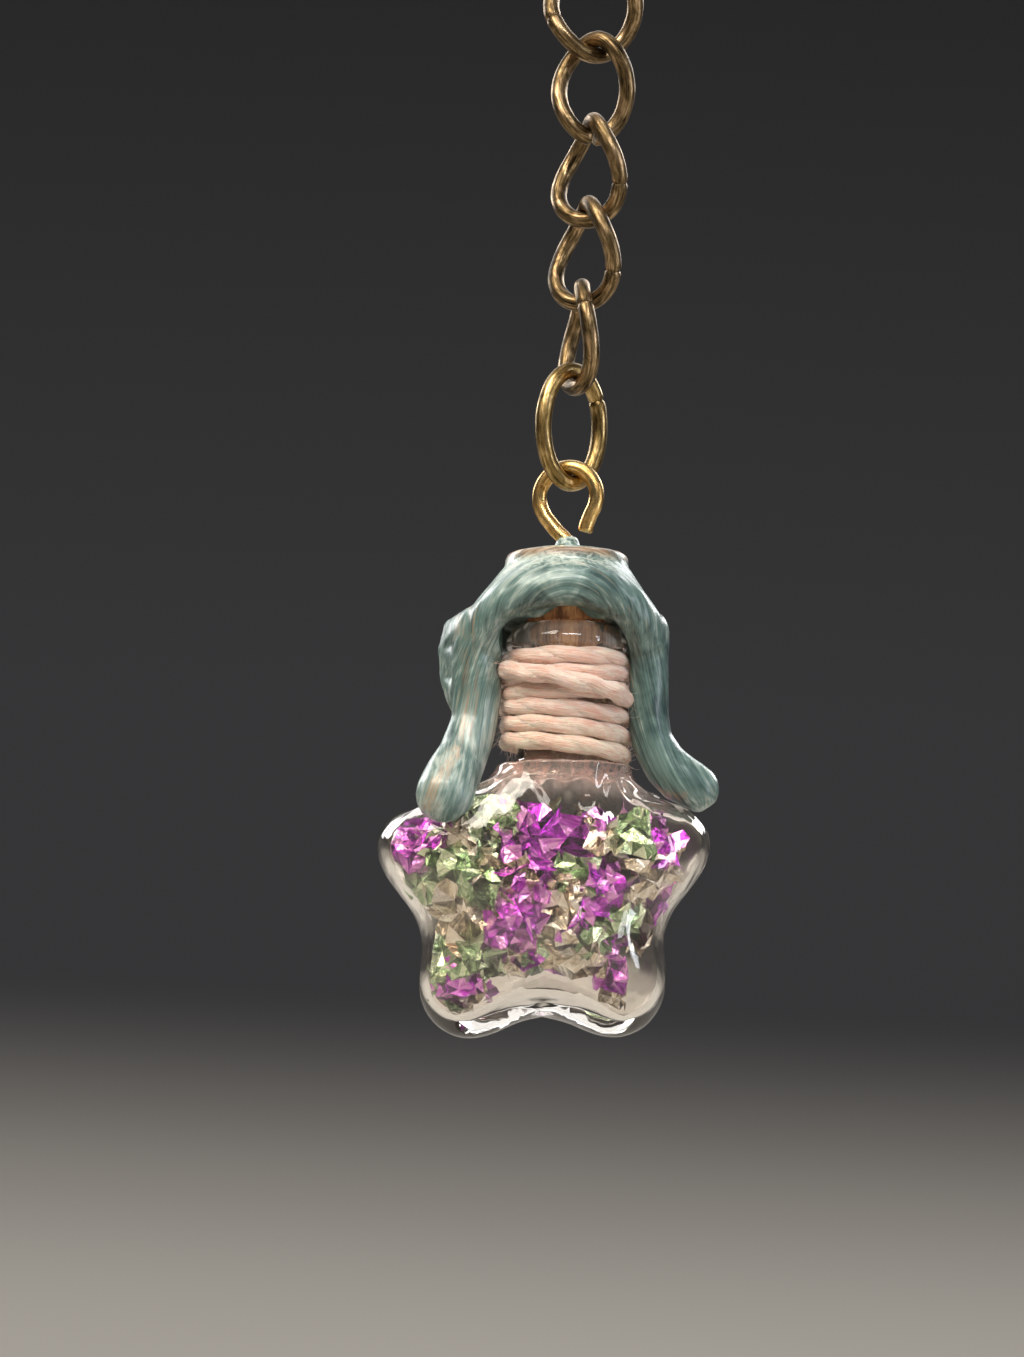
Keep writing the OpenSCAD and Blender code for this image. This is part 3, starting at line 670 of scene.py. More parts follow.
def spun_cotton(tree, thread):
    """Soft-spun dyed cotton: matt and slightly furry, with fibres lying nearly along the plies."""
    yarn = add(tree, "Attribute", output="Vector", attribute_name="yarn")
    # Fibres drawn 0.07 mm wide, coarser than cotton's 0.02 mm, and slubs of half a millimetre
    fibres = streaks(tree, yarn, 0.07 * MM, (16, 1, 1), 3.0, 0.4)
    slubs = streaks(tree, yarn, 0.5 * MM, (3, 1, 1), 2.0)
    # The turns that lie lower than 51 mm below the origin are a faded, creamier dye, and painted paler as
    # well, a painted light against the shade they lie in
    place = add(tree, "TexCoord", output="Object")
    height = add(tree, "SeparateXYZ", [place], "Z")
    faded = add(tree, "MapRange", [height, -53.8 * MM, -51.0 * MM, 1.0, 0.0])
    base = add(tree, "Mix", {0: faded, 6: thread.cotton, 7: thread.cotton_faded_and_painted_light}, 2, data_type="RGBA")
    # Painted shade: darker where the fibres and slubs run low, mostly in the grooves of the fibre relief
    tone = weighed(tree, (slubs, 0.4), (fibres, 0.6))
    shade = add(tree, "MapRange", [tone, 0.38, 0.56, 0.1, 1.0])
    return add(tree, "BsdfPrincipled", {
        "Base Color": add(tree, "Mix", {0: shade, 6: thread.cotton_painted_shade, 7: base}, 2, data_type="RGBA"),
        "Roughness": 0.92,
        "Sheen Weight": 0.3,
        "Sheen Roughness": 0.4,
        "Subsurface Weight": 0.2,
        "Subsurface Scale": 0.3 * MM,
        "Normal": add(tree, "Bump", {"Height": fibres, "Distance": 0.18 * MM}),
    })


def pearl_wax(tree, wax):
    """Poured sealing wax with pearl pigment: satin, streaked by its flow, copper at the rim."""
    flow = add(tree, "Attribute", output="Vector", attribute_name="flow")
    marks = add(tree, "Attribute", output="Vector", attribute_name="marks")
    drip, rim, pale = add(tree, "SeparateXYZ", [marks]).node.outputs
    place = add(tree, "TexCoord", output="Object")
    across, _, height = add(tree, "SeparateXYZ", [place]).node.outputs
    # The flow runs along its Z: streaks 0.1 and 0.34 mm wide that go on for millimetres, and clouds
    fine = streaks(tree, flow, 0.10 * MM, (1, 5, 60), 3.0, 0.15)
    broad = streaks(tree, flow, 0.34 * MM, (1, 3, 24), 3.0, 0.5)
    cloud = streaks(tree, flow, 2.4 * MM, (1, 1, 1.5), 3.0, 0.8)
    # The cap's sides are pale and mottled where the wax was dabbed on
    dabs = streaks(tree, place, 0.35 * MM, (1.5, 1.5, 1), 4.0, 1.2)
    dabbed = add(tree, "MapRange", [dabs, 0.35, 0.65, 0.0, 0.2])
    # Painted light and shade: the left run is painted lighter and the right one darker, as the light falls
    # from the left, and the drops at the foot of both are painted lighter for their highlights
    painted_side_light = add(tree, "MapRange", [across, -5 * MM, 5 * MM, 0.03, -0.04])
    painted_drop_light = add(tree, "MapRange", [height, -52.5 * MM, -55 * MM, 0.0, 0.03])
    tone = weighed(
        tree, (cloud, 0.40), (fine, 0.20), (broad, 0.40), (dabbed, pale), (painted_side_light, 1.0), (painted_drop_light, 1.0)
    )
    tints = [(0.39, wax.teal_deep), (0.52, wax.teal), (0.68, wax.teal_light)]
    base = add(tree, "ValToRGB", [tone], stops=tints)
    # A few seams of cream wax follow the flow
    seams = streaks(tree, flow, 0.3 * MM, (1, 4, 40), 2.0, 0.5)
    seam = add(tree, "MapRange", [seams, 0.65, 0.72, 0.0, 0.4])
    # A weak mark shows only in the lines of the flow, a strong one all over
    lines = add(tree, "Math", [drip, add(tree, "MapRange", [fine, 0.34, 0.64])], operation="ADD")
    down = add(tree, "MapRange", [lines, 0.88, 1.5, 0.0, 0.8])
    edge = add(tree, "Math", [rim, add(tree, "MapRange", [broad, 0.38, 0.52, 0.25, 1.0])],
               operation="MULTIPLY", use_clamp=True)
    in_drip = add(tree, "MapRange", [drip, 0.55, 1.0, 0.25, 0.85])
    in_edge = add(tree, "MapRange", [broad, 0.50, 0.68])
    for cover, creamy in ((seam, 1.0), (down, in_drip), (edge, in_edge)):
        over = add(tree, "Mix", {0: creamy, 6: wax.copper, 7: wax.cream}, 2, data_type="RGBA")
        base = add(tree, "Mix", {0: cover, 6: base, 7: over}, 2, data_type="RGBA")
    relief = weighed(tree, (broad, 1.0), (fine, 0.35))
    return add(tree, "BsdfPrincipled", {
        "Base Color": base,
        "Metallic": 0.1,
        "Roughness": add(tree, "MapRange", [fine, 0.3, 0.7, 0.5, 0.34]),
        "Coat Weight": 0.45,
        "Coat Roughness": 0.24,
        "Subsurface Weight": 0.05,
        "Subsurface Scale": 0.5 * MM,
        "Normal": add(tree, "Bump", {"Height": relief, "Distance": 0.035 * MM}),
    })


def dyed_foil(tree, painted_shade_tone, tint, pale):
    """Thin aluminium foil with a clear dyed lacquer: each facet is painted at random between painted shade
    and painted highlight, with fine wrinkles in it.
    """
    sheet = add(tree, "Attribute", output="Vector", attribute_name="sheet")
    facet = add(tree, "Attribute", output="Fac", attribute_name="facet")
    painted_lit = add(tree, "Attribute", output="Fac", attribute_name="painted_lit")
    # The sheet's own coordinates run from 0 to 1, so this is the finest wrinkle that shows, 0.3 mm
    wrinkle = streaks(tree, sheet, 0.12, detail=2.0, stray=1.0)
    tone = weighed(tree, (facet, 0.55), (wrinkle, 0.7))
    # From painted shade in the lowest tones, through the tint, to a painted highlight in the palest ones
    stops = [(0.34, linear(painted_shade_tone)), (0.58, linear(tint)), (0.88, linear(pale))]
    dyed = add(tree, "ValToRGB", [tone], stops=stops)
    return add(tree, "BsdfPrincipled", {
        # Painted shade: foil far inside the filling is painted darker, towards near-black, for the shadow
        # of the rest
        "Base Color": add(tree, "Mix", {0: painted_lit, 6: linear("#1c1418"), 7: dyed}, 2, data_type="RGBA"),
        "Metallic": 0.85,
        "Roughness": 0.24,
        "Coat Weight": 0.3,
        "Coat Roughness": 0.06,
        "Normal": add(tree, "Bump", {"Height": wrinkle, "Distance": 0.12 * MM, "Strength": 0.8}),
    })


def stage_paper(tree, stage):
    """Matt paper, pale on the floor and dark grey up the wall, painted darker towards the top of the wall
    as painted shade, with a dark screen behind the camera.
    """
    place = add(tree, "TexCoord", output="Object")
    _, ahead, height = add(tree, "SeparateXYZ", [place]).node.outputs
    # The paper turns from pale to grey between 40 and 180 mm above the floor
    low = 0.04 - stage.drop
    up = add(tree, "MapRange", [height, low, low + 0.14], interpolation_type="SMOOTHSTEP")
    # Painted shade: the wall is painted darker from 0.10 to 0.50 m up
    high = add(tree, "MapRange", [height, 0.10, 0.50])
    wall = add(tree, "Mix", {0: high, 6: stage.wall, 7: stage.high}, 2, data_type="RGBA")
    base = add(tree, "Mix", {0: up, 6: stage.floor, 7: wall}, 2, data_type="RGBA")
    behind = add(tree, "MapRange", [ahead, -0.25, -0.75])
    screen = add(tree, "Math", [behind, up], operation="MULTIPLY")
    return add(tree, "BsdfPrincipled", {
        "Base Color": add(tree, "Mix", {0: screen, 6: base, 7: stage.screen}, 2, data_type="RGBA"),
        "Roughness": 0.9,
    })


def drawn_along(tree, path, radius, sides, scale, name, shift):
    """Sweeps a round section along a path, and stores on it where each point lies along and round it."""
    along = add(tree, "SplineParameter", output="Length")
    kept = add(tree, "StoreNamedAttribute", {"Geometry": path, "Name": "along", "Value": along})
    circle = add(tree, "CurvePrimitiveCircle", {"Resolution": sides, "Radius": radius})
    spot = add(tree, "InputPosition")
    section = add(tree, "StoreNamedAttribute", {"Geometry": circle, "Name": "section", "Value": spot},
                  data_type="FLOAT_VECTOR")
    tube = add(tree, "CurveToMesh", {
        "Curve": kept, "Profile Curve": section, "Scale": scale, "Fill Caps": True})
    ran = add(tree, "InputNamedAttribute", {"Name": "along"}, data_type="FLOAT")
    drawn = add(tree, "InputNamedAttribute", {"Name": "section"}, data_type="FLOAT_VECTOR")
    side, front, _ = add(tree, "SeparateXYZ", [drawn]).node.outputs
    start = add(tree, "Math", [ran, shift], operation="ADD")
    own = add(tree, "CombineXYZ", [start, side, front])
    stored = add(tree, "StoreNamedAttribute", {"Geometry": tube, "Name": name, "Value": own},
                 data_type="FLOAT_VECTOR")
    return stored, own


def dented(tree, geometry, pattern, depth):
    """Pushes a surface in and out along its normal by a pattern."""
    out_by = add(tree, "Math", [pattern, -0.5], operation="ADD")
    amount = add(tree, "Math", [out_by, depth], operation="MULTIPLY")
    push = add(tree, "VectorMath", {0: add(tree, "InputNormal"), "Scale": amount}, operation="SCALE")
    return add(tree, "SetPosition", {"Geometry": geometry, "Offset": push})


def wire_tree():
    """Round wire swept along a path, with filed ends, a little uneven as hand-bent wire is."""
    tree, given, out = new_shape_tree(
        "Bent wire", Radius="Float", Sides="Int", Stations="Int", Filed="Float", Uneven="Float",
        Seed="Int", Material="Material",
    )
    line = add(tree, "MeshToCurve", [given["Geometry"]])
    run = add(tree, "ResampleCurve", {"Curve": line, "Count": given["Stations"]})
    along = add(tree, "SplineParameter", output="Length")
    whole = add(tree, "SplineLength", output="Length")
    rest = add(tree, "Math", [whole, along], operation="SUBTRACT")
    to_end = add(tree, "Math", [along, rest], operation="MINIMUM")
    from_end = add(tree, "Math", [to_end, given["Filed"]], operation="DIVIDE", use_clamp=True)
    short = add(tree, "Math", [1.0, from_end], operation="SUBTRACT")
    square = add(tree, "Math", [short, short], operation="MULTIPLY")
    # A quarter round at each end, from most of the full radius
    over = add(tree, "Math", [1.0, square], operation="SUBTRACT")
    swell = add(tree, "Math", [over, 0.5], operation="POWER")
    scale = add(tree, "MapRange", [swell, 0.0, 1.0, 0.82, 1.0])
    # Each wire reads its own stretch of the pattern
    shift = add(tree, "Math", [given["Seed"], 0.05], operation="MULTIPLY")
    tube, own = drawn_along(tree, run, given["Radius"], given["Sides"], scale, "wire_place", shift)
    hammered = streaks(tree, own, 0.7 * MM, (1.8, 1, 1), 2.0)
    worked = dented(tree, tube, hammered, given["Uneven"])
    close_shape_tree(tree, out, worked, given["Material"], True)
    return tree


def bent_wire(path, name, sizes, seed, material):
    """A piece of wire bent along a path."""
    tree = bpy.data.node_groups.get("Bent wire") or wire_tree()
    return grown(path_object(path), name, tree, {
        "Radius": sizes.wire / 2, "Sides": sizes.sides, "Stations": sizes.stations, "Filed": sizes.filed,
        "Uneven": sizes.uneven, "Seed": seed, "Material": material,
    })


def thread_tree():
    """Plies twisted together along a path, with stray fibres standing off them."""
    tree, given, out = new_shape_tree(
        "Spun thread", Thickness="Float", Plies="Int", Twist="Float", Stations="Int", Hairs="Float",
        Hair="Float", Seed="Int", Material="Material",
    )
    line = add(tree, "MeshToCurve", [given["Geometry"]])
    run = add(tree, "ResampleCurve", {"Curve": line, "Count": given["Stations"]})
    copies = add(tree, "DuplicateElements", {"Geometry": run, "Amount": given["Plies"]}, domain="SPLINE")
    index = copies.node.outputs["Duplicate Index"]
    named = add(tree, "StoreNamedAttribute", {"Geometry": copies, "Name": "ply", "Value": index},
                domain="CURVE")
    ply = add(tree, "InputNamedAttribute", {"Name": "ply"}, data_type="FLOAT")
    along = add(tree, "SplineParameter", output="Length")
    turned = add(tree, "Math", [along, given["Twist"]], operation="DIVIDE")
    offset = add(tree, "Math", [ply, given["Plies"]], operation="DIVIDE")
    turns = add(tree, "Math", [turned, offset], operation="ADD")
    phase = add(tree, "Math", [turns, 2 * math.pi], operation="MULTIPLY")
    tangent = add(tree, "InputTangent")
    across = add(tree, "VectorMath", [(0, 0, 1), tangent], operation="CROSS_PRODUCT")
    across = add(tree, "VectorMath", [across], operation="NORMALIZE")
    up = add(tree, "VectorMath", [tangent, across], operation="CROSS_PRODUCT")
    # Soft plies bed into each other: a ply's radius is 0.45 of the thread's thickness, and its middle
    # stands 0.09 of it off the thread's
    reach = add(tree, "Math", [given["Thickness"], 0.09], operation="MULTIPLY")
    radius = add(tree, "Math", [given["Thickness"], 0.45], operation="MULTIPLY")
    place = add(tree, "InputPosition")
    for way, wave in ((across, "COSINE"), (up, "SINE")):
        share = add(tree, "Math", [phase], operation=wave)
        amount = add(tree, "Math", [share, reach], operation="MULTIPLY")
        step = add(tree, "VectorMath", {0: way, "Scale": amount}, operation="SCALE")
        place = add(tree, "VectorMath", [place, step], operation="ADD")
    twisted = add(tree, "SetPosition", {"Geometry": named, "Position": place})
    # Each ply reads its own stretch of the pattern, and lumps of 0.22 mm roughen it
    shift = add(tree, "Math", [ply, 0.3], operation="MULTIPLY")
    tube, own = drawn_along(tree, twisted, radius, 14, 1.0, "yarn", shift)
    lumps = streaks(tree, own, 0.22 * MM, (5, 1, 1), 3.0)
    furry = dented(tree, tube, lumps, 0.16 * MM)
    # Stray fibres: thin bent hairs, drawn at length 1, that start in the plies and lean every way
    density = add(tree, "Math", [given["Hairs"], 1 / MM**2], operation="MULTIPLY")
    roots = add(tree, "DistributePointsOnFaces", {"Mesh": furry, "Density": density, "Seed": given["Seed"]})
    stem = add(tree, "CurveQuadraticBezier", {
        "Resolution": 6, "Start": (0, 0, -0.1), "Middle": (0.3, 0, 0.5), "End": (0, 0.16, 1)})
    taper = add(tree, "MapRange", [add(tree, "SplineParameter"), 0.0, 1.0, 1.0, 0.3])
    fibre = add(tree, "CurvePrimitiveCircle", {"Resolution": 3, "Radius": 0.011})
    hair = add(tree, "CurveToMesh", {
        "Curve": stem, "Profile Curve": fibre, "Scale": taper, "Fill Caps": True})
    wander = add(tree, "RandomValue", {0: (-1, -1, -1), 1: (1, 1, 1), "Seed": given["Seed"]},
                 data_type="FLOAT_VECTOR")
    lean = add(tree, "VectorMath", {0: roots.node.outputs["Normal"], 1: (0.5, 0.5, 0.5), 2: wander},
               operation="MULTIPLY_ADD")
    size = add(tree, "RandomValue", {2: 0.35, 3: 1.0, "Seed": given["Seed"]}, 1, data_type="FLOAT")
    hairs = add(tree, "InstanceOnPoints", {
        "Points": roots,
        "Instance": hair,
        "Scale": add(tree, "Math", [size, given["Hair"]], operation="MULTIPLY"),
        "Rotation": add(tree, "AlignRotationToVector", {"Vector": lean}, axis="Z"),
    })
    both = add(tree, "JoinGeometry", [hairs])
    tree.links.new(furry, both.node.inputs[0])
    close_shape_tree(tree, out, both, given["Material"], True)
    return tree


def foil_tree():
    """Sheets set on points, each bent by its own folds and creases into a crumpled flake."""
    tree, given, out = new_shape_tree(
        "Crumpled foil", Corners="Int", Crumple="Float", Crease="Float", Material="Material"
    )
    flat = add(tree, "MeshGrid", {
        "Size X": 1.0, "Size Y": 1.0, "Vertices X": given["Corners"], "Vertices Y": given["Corners"]})
    named = add(tree, "StoreNamedAttribute", {
        "Geometry": flat, "Name": "spot", "Value": add(tree, "InputPosition")}, data_type="FLOAT_VECTOR")
    read = {}
    for name, kind in (*FLAKE_DATA.items(), ("spot", "FLOAT_VECTOR")):
        read[name] = add(tree, "InputNamedAttribute", {"Name": name}, data_type=kind)
    turn = add(tree, "EulerToRotation", [read["turn"]])
    set_out = add(tree, "InstanceOnPoints", {
        "Points": given["Geometry"], "Instance": named, "Rotation": turn, "Scale": read["size"]})
    real = add(tree, "RealizeInstances", [set_out])
    # Each flake reads its own place in the pattern
    own = add(tree, "VectorMath", {0: (1.7, 3.1, 5.3), "Scale": read["seed"]}, operation="SCALE")
    place = add(tree, "VectorMath", [read["spot"], own], operation="ADD")
    sheet = add(tree, "StoreNamedAttribute", {"Geometry": real, "Name": "sheet", "Value": place},
                data_type="FLOAT_VECTOR")
    # Each flake carries how far painted shade darkens it
    painted_lit = add(tree, "StoreNamedAttribute", {"Geometry": sheet, "Name": "painted_lit", "Value": read["painted_lit"]})
    # Two folds or so to a flake, and every corner pulled its own way
    folds = add(tree, "TexNoise", {
        "Vector": place, "Scale": 2.2, "Detail": 1.0, "Roughness": 0.4}, "Color")
    corner = add(tree, "TexWhiteNoise", {"Vector": place}, "Color")
    at = add(tree, "InputPosition")
    for pattern, depth in ((folds, given["Crumple"]), (corner, given["Crease"])):
        middle = add(tree, "VectorMath", [pattern, (-0.5, -0.5, -0.5)], operation="ADD")
        amount = add(tree, "Math", [read["size"], depth], operation="MULTIPLY")
        bend = add(tree, "VectorMath", {0: middle, "Scale": amount}, operation="SCALE")
        at = add(tree, "VectorMath", [at, bend], operation="ADD")
    crumpled = add(tree, "SetPosition", {"Geometry": painted_lit, "Position": at})
    faceted = add(tree, "Triangulate", [crumpled])
    # Each facet's random share between painted shade and painted highlight
    tone = add(tree, "RandomValue", {"Seed": 3}, 1, data_type="FLOAT")
    toned = add(tree, "StoreNamedAttribute", {"Geometry": faceted, "Name": "facet", "Value": tone},
                domain="FACE")
    close_shape_tree(tree, out, toned, given["Material"], False)
    return tree


def link_path(chain, index, stations=96):
    """The middle line of a link's wire, from one end to the other."""
    crown_yaw, foot_yaw, gap_at, gap, sway, squeeze = LINKS[index]
    half_w = ((chain.ring_w if index == RING else chain.link_w) * squeeze - chain.wire) / 2
    half_l = ((chain.ring_l if index == RING else chain.link_l) - chain.wire) / 2
    pitch = chain.link_l - 2 * chain.wire - chain.play
    middle = chain.wire / 2 - index * pitch - half_l
    half_gap = gap * chain.wire / (half_w + half_l)
    path = []
    for k in range(stations + 1):
        t = math.radians(gap_at) + half_gap + (2 * math.pi - 2 * half_gap) * k / stations
        up = math.sin(t)
        yaw = math.radians(foot_yaw + (crown_yaw - foot_yaw) * (up + 1) / 2)
        wide = half_w * math.cos(t)
        height = middle + (half_l - chain.take_up) * up
        path.append(Vector((wide * math.cos(yaw) + sway * chain.wire, wide * math.sin(yaw), height)))
    return path


class PENDANT_OT_chain(bpy.types.Operator):
    """Bends the five curb links and the drop ring"""

    bl_idname = "pendant.chain"
    bl_label = "Chain and ring"

    def execute(self, context):
        chain = context.scene.pendant_chain
        finishes = ("antiqued_brass_wire", "tarnished_brass_wire")
        antique, ring = [new_material(f, wire_brass, *BRASS[f]) for f in finishes]
        for index in range(len(LINKS)):
            node = "drop_ring" if index == RING else f"link_{index + 1}"
            material = ring if index == RING else antique
            piece = bent_wire(link_path(chain, index), node + "_wire", chain, index + 1, material)
            dress(piece, CHAIN_BODY, "ring_brass" if index == RING else "antique_brass", node)
        return {"FINISHED"}


class PENDANT_OT_screw_eye(bpy.types.Operator):
    """Bends the open screw eye that stands in the cork"""

    bl_idname = "pendant.screw_eye"
    bl_label = "Screw eye"

    def execute(self, context):
        eye = context.scene.pendant_eye
        top = context.scene.pendant_wax.top
        radius = (eye.loop - eye.wire) / 2
        centre = top + eye.rise
        steps = 24
        first, last = EYE_ARC
        turns = [math.radians(first + (last - first) * k / steps) for k in range(steps + 1)]
        route = [*EYE_FREE_END, *[(math.cos(a), math.sin(a)) for a in turns], *EYE_LIMB]
        flat = [(radius * x, centre + radius * z) for x, z in route] + [(0, top - eye.shank)]
        side = Vector((math.cos(eye.yaw), math.sin(eye.yaw), 0))
        path = smooth_path([side * x + Vector((0, 0, z)) for x, z in flat], 6)
        finish = "bright_brass_wire"
        brass = new_material(finish, wire_brass, *BRASS[finish])
        piece = bent_wire(path, "screw_eye_wire", eye, 11, brass)
        piece.data.transform(hung(context.scene.pendant_bottle))
        dress(piece, BOTTLE_BODY, "eye_brass", "screw_eye")
        return {"FINISHED"}


class PENDANT_OT_cork(bpy.types.Operator):
    """Cuts the cork that the screw eye stands in"""

    bl_idname = "pendant.cork"
    bl_label = "Cork"

    def execute(self, context):
        bottle = context.scene.pendant_bottle
        head_r = bottle.cork_head_d / 2
        plug_r = bottle.neck_d / 2 - bottle.neck_wall + bottle.squash
        edge = bottle.cork_edge
        top = bottle.cork_head_h
        foot = -bottle.cork_plug_l
        profile = [
            (plug_r - edge, foot), (plug_r, foot + edge), (plug_r, bottle.cork_gap),
            (head_r - edge, bottle.cork_gap), (head_r, bottle.cork_gap + edge),
            (head_r, top - edge), (head_r - edge, top),
        ]
        row_height = 0.3 * MM
        rows = [(0.5 * plug_r, foot)]
        for (r0, z0), (r1, z1) in zip(profile, profile[1:]):
            steps = max(1, round(math.hypot(r1 - r0, z1 - z0) / row_height))
            rows += [(r0 + (r1 - r0) * k / steps, z0 + (z1 - z0) * k / steps) for k in range(steps)]
        rows += [profile[-1], (0.5 * head_r, top)]
        rings = []
        for r, z in rows:
            ring = []
            for way in round_ring(1, z, 72):
                # Upright pits in the cut face
                grain = noise.noise(Vector((way.x * 5, way.y * 5, z / MM * 0.8)))
                out = r - bottle.cork_pit * max(grain - 0.2, 0)
                ring.append((out * way.x, out * way.y, z))
            rings.append(ring)
        mesh = skin_mesh("cork_stopper", rings, [(0, 0, foot), (0, 0, top)])
        tones = (bottle.cork, bottle.cork_light, bottle.cork_pore)
        mesh.materials.append(new_material("cut_natural_cork", cut_cork, *tones))
        mesh.transform(hung(bottle))
        dress(new_object("cork_stopper", mesh), BOTTLE_BODY, "cork", "cork")
        return {"FINISHED"}


def offset_line(line, distances):
    """A line of (out, up) points, each moved inwards by its distance, square to the line."""
    out = []
    last = len(line) - 1
    for k, (x, z) in enumerate(line):
        if k == last:
            along = Vector((0, 1))
        else:
            before, after = line[max(k - 1, 0)], line[k + 1]
            along = Vector((after[0] - before[0], after[1] - before[1])).normalized()
        out.append((x - distances[k] * along.y, z + distances[k] * along.x))
    return out


def settled(bottle, x, y, z):
    """A point of the upright star, moved to where the star stands off the neck's axis."""
    share = min(max((-bottle.neck_l - z) / (0.2 * bottle.star_h), 0), 1)
    share = share * share * (3 - 2 * share)
    return Vector((x + share * bottle.star_shift, y, z + share * x * math.tan(bottle.star_turn)))


def star_rings(bottle, hollow, sectors=48):
    """Rings of the star's outer surface, or of its hollow, in the bottle's own frame, and its pole."""
    foot_r = bottle.foot_d / 2
    bottom = -bottle.neck_l - bottle.star_h
    lines, walls = ([], []), ([], [])
    for side_w, side_h, front_w, front_h, neck, foot in STAR:
        ways = (
            (side_w * bottle.star_w / 2, side_h, bottle.side_wall),
            (front_w * bottle.star_d / 2, front_h, bottle.wall),
        )
        for line, wall, (half, height, thickness) in zip(lines, walls, ways):
            line.append((half * (1 - neck) + foot_r * neck, bottom + height * bottle.star_h))
            wall.append(hollow * (thickness + (bottle.base_wall - thickness) * foot))
    side, front = [offset_line(line, wall) for line, wall in zip(lines, walls)]
    rings = []
    for (x, side_z), (y, front_z) in zip(side, front):
        ring = []
        for way in round_ring(1, 0, sectors):
            ring.append(settled(bottle, x * way.x, y * way.y, front_z + (side_z - front_z) * way.x**2))
        rings.append(ring)
    return rings, settled(bottle, 0, 0, bottom + STAR_NOTCH * bottle.star_h + walls[0][0])


def polished(mesh, name):
    """A cage of glass rounded off by two levels of subdivision, as a plain mesh object."""
    source = new_object(name + "_cage", mesh)
    melt = source.modifiers.new("Flame polish", "SUBSURF")
    melt.levels = melt.render_levels = 2
    return plain(source, name)


def blown(bottle, place):
    """How far blown glass stands off its even form: never quite even, least of all below the neck."""
    wave = noise.noise(place / (3.4 * MM)) + 0.5 * noise.noise(place / (1.5 * MM))
    # The glass was drawn out over 1.5 mm on either side of a line 1.5 mm below the neck
    drawn = math.exp(-(((place.z + bottle.neck_l + 1.5 * MM) / (1.5 * MM)) ** 2))
    ripple = noise.noise(Vector((place.x / 1.2, place.y / 1.2, place.z / 3.2)) / MM)
    return wave * bottle.swirl + ripple * drawn * bottle.ripple


class PENDANT_OT_bottle(bpy.types.Operator):
    """Blows the hollow star bottle with its neck and rolled lip"""

    bl_idname = "pendant.bottle"
    bl_label = "Glass bottle"

    def execute(self, context):
        bottle = context.scene.pendant_bottle
        neck_r = bottle.neck_d / 2
        foot_r = bottle.foot_d / 2
        bore_r = neck_r - bottle.neck_wall
        reach = bottle.lip_d / 2 - neck_r
        outer, outer_pole = star_rings(bottle, False)
        inner, inner_pole = star_rings(bottle, True)
        rows = [
            ((foot_r if from_edge else neck_r) + out * MM, up * MM - bottle.neck_l)
            for from_edge, out, up in NECK_FOOT
        ]
        rows += [(neck_r, -bottle.neck_l * share) for share in WAIST]
        rows += [(neck_r + out * reach, down * bottle.lip_h) for out, down in LIP]
        rows += [(bore_r + bottle.bevel, 0), (bore_r, -bottle.bevel)]
        rows += [(bore_r, -bottle.neck_l / 2), (bore_r, -bottle.neck_l)]
        rings = outer + [round_ring(r, z) for r, z in rows] + inner[-2::-1]
        piece = polished(skin_mesh("star_bottle", rings, [outer_pole, inner_pole]), "star_bottle")
        points, normals = coordinates(piece.data)
        for index, spot in enumerate(points):
            spot += normals[index] * blown(bottle, Vector(spot))
        piece.data.vertices.foreach_set("co", points.astype(np.float32).ravel())
        neck_foot = PIVOT.z - bottle.mouth_drop - bottle.neck_l
        glass = new_material("clear_blown_glass", clear_glass, bottle.glass, neck_foot)
        piece.data.materials.append(glass)
        piece.data.transform(hung(bottle))
        dress(piece, BOTTLE_BODY, "clear_glass", "glass_bottle")
        return {"FINISHED"}


def eased(table, at, column):
    """A short table's column at a value of its first column, eased between the rows on either side."""
    row = 0
    while row < len(table) - 2 and at >= table[row + 1][0]:
        row += 1
    t = min(max((at - table[row][0]) / (table[row + 1][0] - table[row][0]), 0), 1)
    t = t * t * (3 - 2 * t)
    return table[row][column] * (1 - t) + table[row + 1][column] * t


class PENDANT_OT_thread(bpy.types.Operator):
    """Winds the soft thread round the neck"""

    bl_idname = "pendant.thread"
    bl_label = "Neck thread"

    def execute(self, context):
        bottle = context.scene.pendant_bottle
        thread = context.scene.pendant_thread
        winding_r = bottle.neck_d / 2 + thread.gap + thread.thread / 2
        low = -bottle.neck_l + thread.thread / 2 + thread.gap
        pitch = (bottle.neck_l - bottle.lip_h - thread.thread - 2 * thread.gap) / TOP_ROW
        path = []
        for degree in range(WINDING[0][0], WINDING[-1][0] + 1, WINDING_STEP):
            r = winding_r + thread.thread * eased(WINDING, degree, 2)
            z = low + pitch * eased(WINDING, degree, 1)
            a = math.radians(degree)
            path.append(Vector((r * math.cos(a), r * math.sin(a), z)))
        piece = grown(path_object(path), "neck_thread_yarn", thread_tree(), {
            "Thickness": thread.thread, "Plies": thread.plies, "Twist": thread.twist,
            "Stations": thread.stations, "Hairs": thread.hairs, "Hair": thread.hair, "Seed": 4,
            "Material": new_material("soft_spun_cotton", spun_cotton, thread),
        })
        piece.data.transform(hung(bottle))
        dress(piece, BOTTLE_BODY, "thread", "neck_thread")
        return {"FINISHED"}


